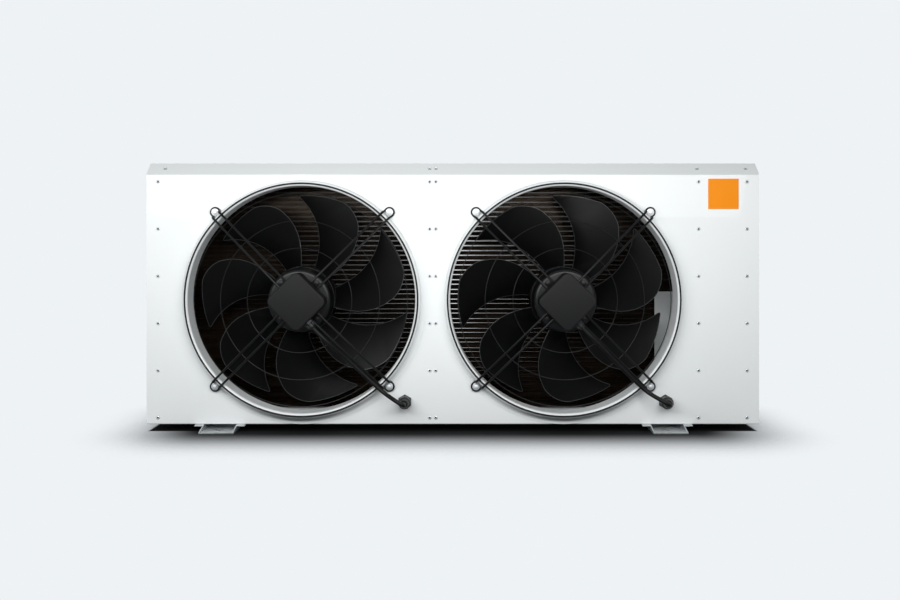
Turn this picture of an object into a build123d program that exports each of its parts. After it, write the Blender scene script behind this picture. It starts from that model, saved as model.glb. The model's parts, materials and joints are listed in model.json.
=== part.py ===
from build123d import *
from math import cos, radians, sin, sqrt, tan
import os

# Dry cooler with two axial fans that blow out of the front.
# Millimetres. X runs to the right seen from the front, Y to the back, Z up.
# The origin is on the floor under the middle of the whole unit.

os.makedirs("parts", exist_ok=True)

# Fan blades; the edges are angles from the root's trailing end at hub, middle and tip
blade_tip_r = 252.0
hub_r = 79.0
blade_count = 7
blade_angle = 244.0
blade_thickness = 3.0
blade_middle = -26.0
blade_middle_angle = 23.0
blade_pitch = 34.0
blade_roll_r = 270.0
blade_roll_turn = 40.0
trailing_angles = (0.0, 4.3, 22.5)
leading_angles = (33.0, 41.0, 57.0)
back_tip_rounding = 12.0
front_tip_rounding = 34.0

# Bell mouths
tip_clearance = 16.0
throat_depth = 40.0
bell_sheet = 1.5
mouth_curve = 9.5
bell_crest_height = 24.0
bell_outer_curve = 6.0
bell_outer_run = 7.5
bell_rim = 14.0
outer_steps = 1
mouth_steps = 2
opening_clearance = 5.0

# Casing; the margins lie between the casing's sides and the bell mouths
left_margin = 75.5
right_margin = 171.5
panel_margin = 1.0
fan_gap = 27.0
casing_depth = 250.0
sheet = 1.5
panel_fold = 18.0
bend_radius = 2.5
cover_rise = 28.0
cover_run = 34.0
end_fold = 10.0
bend_space = 34.0
frame_fold = 15.0
rear_fold = 22.0

# Motors
hub_front = 6.0
hub_depth = 66.0
hub_wall = 17.0
hub_floor = 6.0
hub_boss_r = 18.0
hub_boss_height = 16.0
shaft_r = 6.0
bearing_r = 14.0
bearing_width = 9.0
running_fit = 0.03
seat_fit = 0.02
tube_wall = 6.0
tube_reach = 36.0
air_gap = 2.0
core_length = 30.0
flange_r = 77.0
flange_back = 9.0
flange_height = 49.0
flange_taper = 4.0
flange_rounding = 8.0
cover_side = 102.0
cover_height = 50.0
cover_corner = 15.0
cover_edge = 1.5

# Wire guards
ring_inset = 0.5
ring_wire = 4.0
rod_wire = 4.5
thin_wire = 2.2
thin_ring_shares = (0.913, 0.679, 0.444)
ring_sides = 40
rod_angle = 45.0
rod_spacing = 20.6
eye_inset = 4.0
rod_shoulder = 10.0
rod_drop = 1.5
weld = 0.5
tab_length = 15.0
tab_width = 27.0
tab_thickness = 2.5
tab_clearance = 0.5
guard_screw_head = 10.0
guard_screw_height = 4.0
guard_washer_r = 8.8
guard_washer_thickness = 1.5
guard_stud_r = 3.0
guard_nut = 10.0
guard_nut_height = 5.0

# Motor cables and glands; the cables follow the rods with a lift in front of them
cable_r = 5.0
cable_side = 18.0
cable_forward = 84.0
cable_straight = 41.0
cable_lifts = ((0.38, 5.85), (0.75, 3.0))
cable_hop = 15.0
cable_hop_lift = 9.0
cable_arch = 19.0
cable_arch_height = 64.0
cable_drop = 24.0
gland_reach = 48.2
gland_nut = 27.0
gland_nut_height = 8.0
gland_dome_r = 13.0
gland_height = 36.0
gland_thread_r = 10.0
gland_thread_length = 12.0
lock_nut_height = 5.0
motor_gland_nut = 22.0
motor_gland_nut_height = 6.0
motor_gland_dome_r = 9.5
motor_gland_length = 20.0

# Coil
coil_margin = 25.0
header_space = 138.0
coil_rows = 3
tube_pitch = 25.0
row_pitch = 21.65
tube_d = 9.5
fin_depth = 6.0
fin_spacing = 51.8
fin_thickness = 1.0
coil_clearance = 12.5
bend_reach = 24.0
baffle_width = 83.0
baffle_rise = 10.0
baffle_gap = 4.0

# Headers and connections
header_r = 17.5
header_reach_in = 92.0
header_reach_out = 47.0
header_margin = 12.0
branch_r = 14.0
branch_bore_r = 12.5
inlet_rise = 90.0
outlet_drop = 80.0
stub_reach = 58.0
nipple_overlap = 14.0
nipple_r = 20.95
nipple_hex = 50.0
nipple_hex_length = 14.0
nipple_thread_length = 24.0
grommet_r = 22.0
grommet_thickness = 6.0
valve_hex = 14.0

# Feet
foot_height = 14.0
foot_left_inset = 177.5
foot_right_inset = 221.4
foot_thickness = 2.5
foot_web = 82.0
foot_flange = 19.0
foot_reach = 50.0
anchor_reach = 20.0
anchor_r = 5.25
foot_bolt_spacing = 102.0
foot_bolt_r = 3.0
foot_bolt_hex = 10.0
foot_bolt_head = 4.0
foot_bolt_length = 16.0
foot_bolt_inset = 9.0
bolt_clearance = 0.3

# Blank orange plate
label_side = 73.0
label_thickness = 1.0
label_inset = 85.6
label_drop = 47.3

# Places that follow from the sizes
throat_r = blade_tip_r + tip_clearance
bell_crest_r = throat_r + mouth_curve
bell_heel_r = bell_crest_r + bell_outer_run
bell_rim_r = bell_heel_r + bell_rim
fan_pitch = 2 * bell_rim_r + fan_gap
panel_height = 2 * (bell_rim_r + panel_margin)
casing_width = left_margin + fan_pitch + 2 * bell_rim_r + right_margin
motor_reach = flange_back + flange_height + cover_height
overall_depth = motor_reach + casing_depth + stub_reach
panel_y = motor_reach - overall_depth / 2
back_y = panel_y + casing_depth
casing_z = foot_height
cover_z = casing_z + panel_height
top_z = cover_z + cover_rise
side_x = casing_width / 2
fan_z = casing_z + panel_height / 2
left_fan_x = left_margin + bell_rim_r - side_x
fan_middle_x = left_fan_x + fan_pitch / 2
fans = {"left": left_fan_x, "right": left_fan_x + fan_pitch}
feet = {"left": foot_left_inset - side_x, "right": side_x - foot_right_inset}
label_x = side_x - label_inset
ring_r = bell_crest_r - ring_inset
eye_r = bell_rim_r - eye_inset
gland_s = bell_rim_r + gland_reach
gland_offset = gland_s / sqrt(2)
flange_front = flange_back + flange_height
tab_front = flange_front + tab_thickness
coil_left_x = sheet + bend_space - side_x
coil_right_x = side_x - header_space
tube_pairs = int(panel_height // (2 * tube_pitch))
coil_tubes = 2 * tube_pairs
coil_depth = coil_rows * row_pitch
coil_y = back_y - coil_margin - coil_depth
coil_z = casing_z + sheet + coil_clearance
coil_height = coil_tubes * tube_pitch
slope = cover_rise / cover_run
slope_drop = sheet * sqrt(1 + slope**2)


def save(piece, name):
    """Name a finished piece and write it to its own file."""
    piece.part.label = name
    export_step(piece.part, f"parts/{name}.step")


def fan_plane(fan_x, forward=0.0):
    """Plane square to a fan axis, with local z pointing out of the front of the unit."""
    return Plane(origin=(fan_x, panel_y - forward, fan_z), x_dir=(1, 0, 0), z_dir=(0, -1, 0))


def section_plane(fan_x):
    """Plane through a fan axis: local x is the radius, local y points out of the front."""
    return Plane(origin=(fan_x, panel_y, fan_z), x_dir=(1, 0, 0), z_dir=(0, 0, -1))


def fan_axis(fan_x):
    """Turning axis of a fan, pointing out of the front."""
    return Axis((fan_x, panel_y, fan_z), (0, -1, 0))


def side_plane(x):
    """Upright plane seen from the right: local x is Y, local y is Z."""
    return Plane(origin=(x, 0, 0), x_dir=(0, 1, 0), z_dir=(1, 0, 0))


def along_rods(s, t, forward):
    """Point of a fan plane at s along the lower right rods and t to their lower left."""
    return ((s - t) / sqrt(2), (-s - t) / sqrt(2), forward)


# Front panel: one folded sheet with the fan openings
opening_r = bell_crest_r - opening_clearance
gland_points = (gland_offset, -gland_offset)
front_bolt_y = panel_y + foot_bolt_inset
rear_bolt_y = back_y - foot_bolt_inset
bolt_columns = [x + side * foot_bolt_spacing / 2 for x in feet.values() for side in (-1, 1)]

with BuildPart() as front_panel:
    with BuildSketch(side_plane(-side_x)):
        with BuildLine():
            Polyline(
                (panel_y, casing_z),
                (panel_y, cover_z),
                (panel_y + panel_fold, cover_z),
                (panel_y + panel_fold, cover_z - sheet),
                (panel_y + sheet, cover_z - sheet),
                (panel_y + sheet, casing_z + sheet),
                (panel_y + panel_fold, casing_z + sheet),
                (panel_y + panel_fold, casing_z),
                close=True,
            )
        make_face()
        fillet(vertices().group_by(Axis.X)[0], bend_radius)
    extrude(amount=casing_width)
    for fan_x in fans.values():
        with BuildSketch(fan_plane(fan_x)):
            Circle(opening_r)
            with Locations(gland_points):
                Circle(gland_thread_r + bolt_clearance)
        extrude(amount=-2 * sheet, mode=Mode.SUBTRACT)
    with BuildSketch(Plane.XY.offset(casing_z)):
        with Locations([(x, front_bolt_y) for x in bolt_columns]):
            Circle(foot_bolt_r + bolt_clearance)
    extrude(amount=sheet, mode=Mode.SUBTRACT)
save(front_panel, "front_panel")

# Bottom panel: flat sheet behind the front panel's lower fold, turned up at the back
with BuildPart() as bottom_panel:
    with BuildSketch(Plane.XY.offset(casing_z)):
        with Locations((0, (panel_y + panel_fold + back_y) / 2)):
            Rectangle(casing_width, casing_depth - panel_fold)
        with Locations([(x, rear_bolt_y) for x in bolt_columns]):
            Circle(foot_bolt_r + bolt_clearance, mode=Mode.SUBTRACT)
    extrude(amount=sheet)
    with BuildSketch(Plane.XY.offset(casing_z + sheet)):
        with Locations((0, back_y - sheet / 2)):
            Rectangle(-2 * coil_left_x, sheet)
    extrude(amount=rear_fold - sheet)
save(bottom_panel, "bottom_panel")

# Top cover: a shallow tray, open below, whose front side is a slope
with BuildPart() as top_cover:
    with BuildSketch(side_plane(-side_x)):
        with BuildLine():
            Polyline(
                (panel_y, cover_z),
                (panel_y + cover_run, top_z),
                (back_y, top_z),
                (back_y, cover_z),
                close=True,
            )
        make_face()
    extrude(amount=casing_width)
    offset(amount=-sheet, openings=top_cover.faces().sort_by(Axis.Z)[0], kind=Kind.INTERSECTION)
save(top_cover, "top_cover")


# Folded plates: the end panels, coil end plates and centre frames
def folded_plate(outline, web_x, inward, fold):
    """Plate with its web's outer face at web_x, folded all round towards inward."""
    with BuildPart() as plate:
        with BuildSketch(side_plane(web_x)):
            with BuildLine():
                Polyline(*outline, close=True)
            make_face()
        extrude(amount=inward * sheet)
        with BuildSketch(side_plane(web_x + inward * sheet)):
            with BuildLine():
                Polyline(*outline, close=True)
            make_face()
            offset(amount=-sheet, kind=Kind.INTERSECTION, mode=Mode.SUBTRACT)
        extrude(amount=inward * (fold - sheet))
    return plate


end_outline = [
    (panel_y + sheet, casing_z + sheet),
    (panel_y + sheet, cover_z - sheet),
    (panel_y + panel_fold, cover_z - sheet),
    (panel_y + panel_fold, cover_z),
    (back_y, cover_z),
    (back_y, casing_z + sheet),
]


def make_end_panel(side, rear_width):
    """End panel on one side, with a wider fold at the rear."""
    with BuildPart() as panel:
        add(folded_plate(end_outline, side * side_x, -side, end_fold).part)
        with BuildSketch(Plane.XZ.offset(-back_y)):
            with Locations((side * (side_x - rear_width / 2), (casing_z + sheet + cover_z) / 2)):
                Rectangle(rear_width, panel_height - sheet)
        extrude(amount=sheet)
    return panel


left_end_panel = make_end_panel(-1, bend_space + sheet)
save(left_end_panel, "left_end_panel")
right_end_panel = make_end_panel(1, rear_fold)
save(right_end_panel, "right_end_panel")


def frame_outline(rear_y):
    """Outline of an inner frame that fills the casing's section up to rear_y."""
    return [
        (panel_y + sheet, casing_z + sheet),
        (panel_y + sheet, cover_z - sheet),
        (panel_y + panel_fold, cover_z - sheet),
        (panel_y + panel_fold, cover_z + panel_fold * slope - slope_drop),
        (panel_y + (cover_rise - sheet + slope_drop) / slope, top_z - sheet),
        (rear_y, top_z - sheet),
        (rear_y, casing_z + sheet),
    ]


plate_outline = frame_outline(back_y - sheet)
left_coil_plate = folded_plate(plate_outline, coil_left_x, 1, frame_fold)
save(left_coil_plate, "left_coil_plate")
right_coil_plate = folded_plate(plate_outline, coil_right_x + sheet, -1, frame_fold)
save(right_coil_plate, "right_coil_plate")

centre_outline = frame_outline(coil_y - sheet)
left_centre_frame = folded_plate(centre_outline, fan_middle_x, -1, frame_fold)
save(left_centre_frame, "left_centre_frame")
right_centre_frame = folded_plate(centre_outline, fan_middle_x, 1, frame_fold)
save(right_centre_frame, "right_centre_frame")

# Coil: packed fins and straight tubes as one core, with the fins that stand out of it
fin_left_x = coil_left_x + sheet
fin_stack = coil_right_x - fin_left_x - fin_thickness
fin_gaps = int(fin_stack // fin_spacing)
fin_points = [
    (fin_left_x + fin_thickness / 2 + i * fin_stack / fin_gaps, coil_y + coil_depth / 2)
    for i in range(fin_gaps + 1)
]
with BuildPart() as coil_block:
    with BuildSketch(Plane.XY.offset(coil_z)):
        with Locations(((fin_left_x + coil_right_x) / 2, coil_y + coil_depth / 2)):
            Rectangle(coil_right_x - fin_left_x, coil_depth - 2 * fin_depth)
        with Locations(fin_points):
            Rectangle(fin_thickness, coil_depth)
    extrude(amount=coil_height)
save(coil_block, "coil_block")


def tube_point(row, level):
    """Y and Z of a coil tube; every second row stands half a pitch higher."""
    stagger = tube_pitch / 4 if row % 2 else -tube_pitch / 4
    y = coil_y + (row + 0.5) * row_pitch
    z = coil_z + (level + 0.5) * tube_pitch + stagger
    return y, z


def bend_plane(x, outward, start, end):
    """Plane of a return bend: local x from one tube end (y, z) to the other, local y outward."""
    across = Vector(0, end[0] - start[0], end[1] - start[1])
    return Plane(origin=(x, *start), x_dir=across, z_dir=across.cross(Vector(outward, 0, 0)))


def bend_outline(span):
    """U with mitred corners between two tube ends that lie span apart."""
    half = tube_d / 2
    corner = bend_reach / 2
    inner = bend_reach - tube_d
    return [
        (-half, 0),
        (-half, corner),
        (half, bend_reach),
        (span - half, bend_reach),
        (span + half, corner),
        (span + half, 0),
        (span - half, 0),
        (span - half, corner - half),
        (span - half - corner + half, inner),
        (corner, inner),
        (half, corner - half),
        (half, 0),
    ]


right_bend_x = coil_right_x + sheet
left_bends = [
    bend_plane(coil_left_x, -1, tube_point(row, 2 * pair), tube_point(row, 2 * pair + 1))
    for row in range(coil_rows)
    for pair in range(tube_pairs)
]
right_bends = [
    bend_plane(right_bend_x, 1, tube_point(row, 2 * pair + 1 - row), tube_point(row + 1, 2 * pair + 1))
    for row in range(coil_rows - 1)
    for pair in range(tube_pairs)
]

with BuildPart() as left_return_bends:
    for plane in left_bends:
        with BuildSketch(plane):
            with BuildLine():
                Polyline(*bend_outline(tube_pitch), close=True)
            make_face()
        extrude(amount=tube_d / 2, both=True)
save(left_return_bends, "left_return_bends")

with BuildPart() as right_return_bends:
    for plane in right_bends:
        with BuildSketch(plane):
            with BuildLine():
                Polyline(*bend_outline(tube_pitch), close=True)
            make_face()
        extrude(amount=tube_d / 2, both=True)
save(right_return_bends, "right_return_bends")


# Headers: upright tube, feeders to the coil and a branch to the rear, brazed together
def make_header(header_x, row, first_level, branch_z):
    """Header in line with one coil row, fed by every second tube from first_level."""
    header_y = tube_point(row, 0)[0]
    base = casing_z + sheet + header_margin
    top = cover_z - header_margin
    feeder_x = coil_right_x + sheet
    branch_end = back_y + stub_reach - nipple_thread_length - nipple_hex_length
    with BuildPart() as header:
        with BuildSketch(Plane.XY.offset(base)):
            with Locations((header_x, header_y)):
                Circle(header_r)
        extrude(amount=top - base)
        with BuildSketch(side_plane(feeder_x)):
            with Locations([tube_point(row, 2 * pair + first_level) for pair in range(tube_pairs)]):
                RegularPolygon(tube_d / 2, 6)
        extrude(amount=header_x - feeder_x)
        with BuildSketch(Plane.XZ.offset(-header_y)):
            with Locations((header_x, branch_z)):
                Circle(branch_r)
        extrude(amount=header_y - branch_end - nipple_overlap)
        with BuildSketch(Plane.XZ.offset(-header_y)):
            with Locations((header_x, branch_z)):
                Circle(branch_bore_r)
        extrude(amount=header_y - branch_end - nipple_overlap, mode=Mode.SUBTRACT)
    return header


inlet_x = coil_right_x + sheet + header_reach_in
outlet_x = coil_right_x + sheet + header_reach_out
inlet_z = casing_z + inlet_rise
outlet_z = cover_z - outlet_drop
inlet_header = make_header(inlet_x, 0, 0, inlet_z)
save(inlet_header, "inlet_header")
outlet_header = make_header(outlet_x, 2, 0, outlet_z)
save(outlet_header, "outlet_header")


# Threaded connections at the rear, pushed over the branch ends
def make_nipple(x, z):
    """Hexagon and outside thread with the branch's seat bored into its front."""
    front_y = back_y + stub_reach - nipple_thread_length - nipple_hex_length
    with BuildPart() as nipple:
        with BuildSketch(Plane.XZ.offset(-front_y)):
            with Locations((x, z)):
                RegularPolygon(nipple_hex / 2, 6, major_radius=False)
        extrude(amount=-nipple_hex_length)
        with BuildSketch(Plane.XZ.offset(-front_y - nipple_hex_length)):
            with Locations((x, z)):
                Circle(nipple_r)
        extrude(amount=-nipple_thread_length)
        with BuildSketch(Plane.XZ.offset(-front_y)):
            with Locations((x, z)):
                Circle(branch_bore_r)
        extrude(amount=-nipple_hex_length - nipple_thread_length, mode=Mode.SUBTRACT)
        with BuildSketch(Plane.XZ.offset(-front_y)):
            with Locations((x, z)):
                Circle(branch_r + seat_fit)
        extrude(amount=-nipple_overlap, mode=Mode.SUBTRACT)
    return nipple


inlet_nipple = make_nipple(inlet_x, inlet_z)
save(inlet_nipple, "inlet_nipple")
outlet_nipple = make_nipple(outlet_x, outlet_z)
save(outlet_nipple, "outlet_nipple")

# Rear cover of the header space, with a rubber grommet around each branch
cover_left_x = coil_right_x + sheet
cover_right_x = side_x - sheet
header_cover_y = back_y - sheet
header_cover_base = casing_z + 2 * sheet
header_cover_top = cover_z - sheet
branch_points = [(inlet_x, inlet_z), (outlet_x, outlet_z)]
with BuildPart() as header_cover:
    with BuildSketch(Plane.XZ.offset(-header_cover_y)):
        with Locations(((cover_left_x + cover_right_x) / 2, (header_cover_base + header_cover_top) / 2)):
            Rectangle(cover_right_x - cover_left_x, header_cover_top - header_cover_base)
        with Locations(branch_points):
            Circle(grommet_r - sheet, mode=Mode.SUBTRACT)
    extrude(amount=sheet)
    with BuildSketch(Plane.XZ.offset(sheet - header_cover_y)):
        with Locations((cover_left_x + sheet / 2, (header_cover_base + header_cover_top) / 2)):
            Rectangle(sheet, header_cover_top - header_cover_base)
    extrude(amount=frame_fold)
save(header_cover, "header_cover")

with BuildPart() as grommets:
    with BuildSketch(Plane.XZ.offset((grommet_thickness - sheet) / 2 - header_cover_y + sheet)):
        with Locations(branch_points):
            Circle(grommet_r - sheet - seat_fit)
        with Locations(branch_points):
            Circle(branch_r + seat_fit, mode=Mode.SUBTRACT)
    extrude(amount=-grommet_thickness)
save(grommets, "grommets")


# Vent valve on top of the outlet header and drain plug under the inlet header
def make_plug(header_x, row, z):
    """Hexagon plug that fills the space from a header's end at z by its own length."""
    with BuildPart() as plug:
        with BuildSketch(Plane.XY.offset(z)):
            with Locations((header_x, tube_point(row, 0)[0])):
                RegularPolygon(valve_hex / 2, 6, major_radius=False)
        extrude(amount=header_margin - sheet)
    return plug


vent_valve = make_plug(outlet_x, 2, cover_z - header_margin)
save(vent_valve, "vent_valve")
drain_plug = make_plug(inlet_x, 0, casing_z + 2 * sheet)
save(drain_plug, "drain_plug")

# Baffle plate that closes the last stretch in front of the coil
with BuildPart() as coil_baffle:
    with BuildSketch(Plane.XZ.offset(baffle_gap + sheet - coil_y)):
        with Locations((coil_right_x - baffle_width / 2, (casing_z + 2 * sheet + fan_z + baffle_rise) / 2)):
            Rectangle(baffle_width, fan_z + baffle_rise - casing_z - 2 * sheet)
    extrude(amount=-sheet)
    with BuildSketch(Plane.XZ.offset(baffle_gap + sheet - coil_y)):
        with Locations((coil_right_x - sheet / 2, (casing_z + 2 * sheet + fan_z + baffle_rise) / 2)):
            Rectangle(sheet, fan_z + baffle_rise - casing_z - 2 * sheet)
    extrude(amount=frame_fold)
save(coil_baffle, "coil_baffle")


# Feet: hat sections with the ends of their webs raked back
foot_length = casing_depth + 2 * foot_reach


def make_foot(foot_x):
    """Bent strip: two flanges under the casing, two webs, one sole with the anchor holes."""
    half = foot_web / 2
    outer = half + foot_flange
    t = foot_thickness
    with BuildPart() as foot:
        with BuildSketch(Plane.XZ.offset(foot_reach - panel_y)):
            with BuildLine():
                Polyline(
                    (foot_x - outer, casing_z),
                    (foot_x - outer, casing_z - t),
                    (foot_x - half, casing_z - t),
                    (foot_x - half, 0),
                    (foot_x + half, 0),
                    (foot_x + half, casing_z - t),
                    (foot_x + outer, casing_z - t),
                    (foot_x + outer, casing_z),
                    (foot_x + half - t, casing_z),
                    (foot_x + half - t, t),
                    (foot_x - half + t, t),
                    (foot_x - half + t, casing_z),
                    close=True,
                )
            make_face()
        extrude(amount=-foot_length)
        with BuildSketch(side_plane(foot_x)):
            for end_y, inward in ((panel_y - foot_reach, 1), (back_y + foot_reach, -1)):
                with BuildLine():
                    Polyline(
                        (end_y, t),
                        (end_y, casing_z),
                        (end_y + inward * (foot_reach - t), casing_z),
                        close=True,
                    )
                make_face()
        extrude(amount=outer, both=True, mode=Mode.SUBTRACT)
        with BuildSketch(Plane.XY):
            with Locations((foot_x, panel_y - anchor_reach), (foot_x, back_y + anchor_reach)):
                Circle(anchor_r)
        extrude(amount=t, mode=Mode.SUBTRACT)
        with BuildSketch(Plane.XY.offset(casing_z - t)):
            with Locations(
                [
                    (foot_x + side * foot_bolt_spacing / 2, y)
                    for side in (-1, 1)
                    for y in (front_bolt_y, rear_bolt_y)
                ]
            ):
                Circle(foot_bolt_r + bolt_clearance)
        extrude(amount=t, mode=Mode.SUBTRACT)
    return foot


left_foot = make_foot(feet["left"])
save(left_foot, "left_foot")
right_foot = make_foot(feet["right"])
save(right_foot, "right_foot")

foot_bolt_points = [(x, y) for x in bolt_columns for y in (front_bolt_y, rear_bolt_y)]
with BuildPart() as foot_bolts:
    with BuildSketch(Plane.XY.offset(casing_z - foot_thickness)):
        with Locations(foot_bolt_points):
            RegularPolygon(foot_bolt_hex / 2, 6, major_radius=False)
    extrude(amount=-foot_bolt_head)
    with BuildSketch(Plane.XY.offset(casing_z - foot_thickness)):
        with Locations(foot_bolt_points):
            RegularPolygon(foot_bolt_r, 8)
    extrude(amount=foot_bolt_length)
save(foot_bolts, "foot_bolts")

with BuildPart() as foot_nuts:
    with BuildSketch(Plane.XY.offset(casing_z + sheet)):
        with Locations(foot_bolt_points):
            RegularPolygon(foot_bolt_hex / 2, 6, major_radius=False)
        with Locations(foot_bolt_points):
            RegularPolygon(foot_bolt_r + seat_fit, 8, mode=Mode.SUBTRACT)
    extrude(amount=foot_bolt_head)
save(foot_nuts, "foot_nuts")

# Blank orange plate on the panel
with BuildPart() as label_plate:
    with BuildSketch(Plane.XZ.offset(-panel_y)):
        with Locations((label_x, cover_z - label_drop)):
            RectangleRounded(label_side, label_side, 1.0)
    extrude(amount=label_thickness)
save(label_plate, "label_plate")


# Bell mouths: drawn rings that lie on the panel and pass through its opening
def quarter(centre, r, steps, first, last):
    """Points of a round stretch from the angle first to the angle last, in even steps."""
    angles = [radians(first + (last - first) * i / steps) for i in range(steps + 1)]
    return [(centre[0] + r * cos(a), centre[1] + r * sin(a)) for a in angles]


def make_bell_mouth(fan_x):
    """Ring of even sheet: rim, outer flare, rounded crest, rounded mouth and throat."""
    mouth = (bell_crest_r, bell_crest_height - mouth_curve)
    outer = (bell_crest_r, bell_crest_height - bell_outer_curve)
    s = bell_sheet
    with BuildPart() as bell:
        with BuildSketch(section_plane(fan_x)):
            with BuildLine():
                Polyline(
                    (bell_rim_r, 0),
                    (bell_rim_r, s),
                    (bell_heel_r, s),
                    *quarter(outer, bell_outer_curve, outer_steps, 0, 90),
                    *quarter(mouth, mouth_curve, mouth_steps, 90, 180)[1:],
                    (throat_r, -throat_depth),
                    (throat_r + s, -throat_depth),
                    *quarter(mouth, mouth_curve - s, mouth_steps, 180, 90),
                    *quarter(outer, bell_outer_curve - s, outer_steps, 90, 0)[1:],
                    (bell_heel_r - s, 0),
                    close=True,
                )
            make_face()
        revolve(axis=fan_axis(fan_x))
    return bell


bell_mouths = {side: make_bell_mouth(fan_x) for side, fan_x in fans.items()}
for side, bell_mouth in bell_mouths.items():
    save(bell_mouth, f"{side}_bell_mouth")


# Fan blades: sheet rolled about a skewed axis, which gives camber and twist, cut to sickles
def polar(r, angle):
    """Point in a fan plane at radius r and an angle counted from the blade's root."""
    turn = radians(blade_angle + angle)
    return (r * cos(turn), r * sin(turn))


blade_middle_r = (hub_r + blade_tip_r) / 2
edge_radii = (hub_r, blade_middle_r, blade_tip_r)
outward = Vector(*polar(1, blade_middle_angle), 0)
around = Vector(-outward.Y, outward.X, 0)
pitch = radians(blade_pitch)
chord_way = around * cos(pitch) - Vector(0, 0, sin(pitch))
roll_axis = outward - chord_way
roll_plane = Plane(
    origin=outward * blade_middle_r + Vector(0, 0, blade_middle),
    x_dir=outward + chord_way,
    z_dir=roll_axis,
)
root_turn = (trailing_angles[0] + leading_angles[0]) / 2
tip_turn = (trailing_angles[-1] + leading_angles[-1]) / 2

with BuildPart() as blade:
    with BuildSketch(roll_plane):
        with BuildLine():
            half = blade_thickness / 2
            rolled = 2 * blade_roll_turn
            first_turn = 270 - blade_roll_turn
            front_arc = CenterArc((0, blade_roll_r), blade_roll_r - half, first_turn, rolled)
            back_arc = CenterArc((0, blade_roll_r), blade_roll_r + half, first_turn, rolled)
            Line(front_arc @ 0, back_arc @ 0)
            Line(front_arc @ 1, back_arc @ 1)
        make_face()
    extrude(amount=blade_tip_r, both=True)
    with BuildSketch(Plane.XY.offset(-2 * hub_depth)):
        with BuildLine():
            back_edge = ThreePointArc(*[polar(r, a) for r, a in zip(edge_radii, trailing_angles)])
            front_edge = ThreePointArc(*[polar(r, a) for r, a in zip(edge_radii, leading_angles)])
            ThreePointArc(back_edge @ 1, polar(blade_tip_r, tip_turn), front_edge @ 1)
            ThreePointArc(front_edge @ 0, polar(hub_r, root_turn), back_edge @ 0)
        make_face()
        tips = [v for v in vertices() if Vector(v.X, v.Y, 0).length > blade_tip_r - 1]
        back_tip, front_tip = sorted(tips, key=lambda v: v.distance_to(Vertex(*(back_edge @ 1))))
        fillet(back_tip, back_tip_rounding)
        fillet(front_tip, front_tip_rounding)
    extrude(amount=4 * hub_depth, mode=Mode.INTERSECT)

for side, fan_x in fans.items():
    with BuildPart(fan_plane(fan_x)) as blades:
        with PolarLocations(0, blade_count):
            add(blade.part)
    save(blades, f"{side}_fan_blades")

# Motors: fixed housing with the bearing tube, and the rotor cup that carries the blades
hub_back = hub_front - hub_depth
hub_inner_r = hub_r - hub_wall
boss_front = hub_back + hub_boss_height
tube_r = bearing_r + tube_wall
tube_back = -tube_reach
front_bearing = flange_back + 2 * bearing_width
rear_bearing = tube_back + bearing_width
shaft_front = front_bearing + 1


def make_motor_housing(fan_x):
    """Round housing with a tapered side, a flat front and the bearing tube behind."""
    with BuildPart() as housing:
        with BuildSketch(section_plane(fan_x)):
            with BuildLine():
                Polyline(
                    (0, flange_front),
                    (flange_r - flange_taper, flange_front),
                    (flange_r, flange_back),
                    (tube_r, flange_back),
                    (tube_r, tube_back),
                    (bearing_r + seat_fit, tube_back),
                    (bearing_r + seat_fit, shaft_front + 1),
                    (0, shaft_front + 1),
                    close=True,
                )
            make_face()
            chamfer(vertices().group_by(Axis.Y)[-1].sort_by(Axis.X)[-1], flange_rounding)
        revolve(axis=fan_axis(fan_x))
    return housing


def make_rotor_cup(fan_x):
    """Cup open to the front, with the boss that holds the shaft."""
    with BuildPart() as cup:
        with BuildSketch(section_plane(fan_x)):
            with BuildLine():
                Polyline(
                    (shaft_r + seat_fit, hub_back),
                    (hub_r, hub_back),
                    (hub_r, hub_front),
                    (hub_inner_r, hub_front),
                    (hub_inner_r, hub_back + hub_floor),
                    (hub_boss_r, hub_back + hub_floor),
                    (hub_boss_r, boss_front),
                    (shaft_r + seat_fit, boss_front),
                    close=True,
                )
            make_face()
        revolve(axis=fan_axis(fan_x))
    return cup


def make_motor_cover(fan_x):
    """Square cover with round corners, turned by an eighth, in front of the housing."""
    with BuildPart() as cover:
        with BuildSketch(fan_plane(fan_x, flange_front)):
            RectangleRounded(cover_side, cover_side, cover_corner, rotation=45)
        extrude(amount=cover_height)
        chamfer(cover.faces().sort_by(Axis.Y)[0].edges(), cover_edge)
    return cover


for side, fan_x in fans.items():
    save(make_motor_housing(fan_x), f"{side}_motor_housing")
    save(make_rotor_cup(fan_x), f"{side}_rotor_cup")
    save(make_motor_cover(fan_x), f"{side}_motor_cover")
    with BuildPart() as shaft:
        with BuildSketch(fan_plane(fan_x, hub_back)):
            Circle(shaft_r)
        extrude(amount=shaft_front - hub_back)
    save(shaft, f"{side}_shaft")

with BuildPart() as bearings:
    for fan_x in fans.values():
        for front in (front_bearing, rear_bearing):
            with BuildSketch(fan_plane(fan_x, front - bearing_width)):
                Circle(bearing_r)
                Circle(shaft_r + running_fit, mode=Mode.SUBTRACT)
            extrude(amount=bearing_width)
save(bearings, "bearings")

with BuildPart() as stator_cores:
    for fan_x in fans.values():
        with BuildSketch(fan_plane(fan_x, hub_front - core_length)):
            Circle(hub_inner_r - air_gap)
            Circle(tube_r + seat_fit, mode=Mode.SUBTRACT)
        extrude(amount=core_length)
save(stator_cores, "stator_cores")


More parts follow.
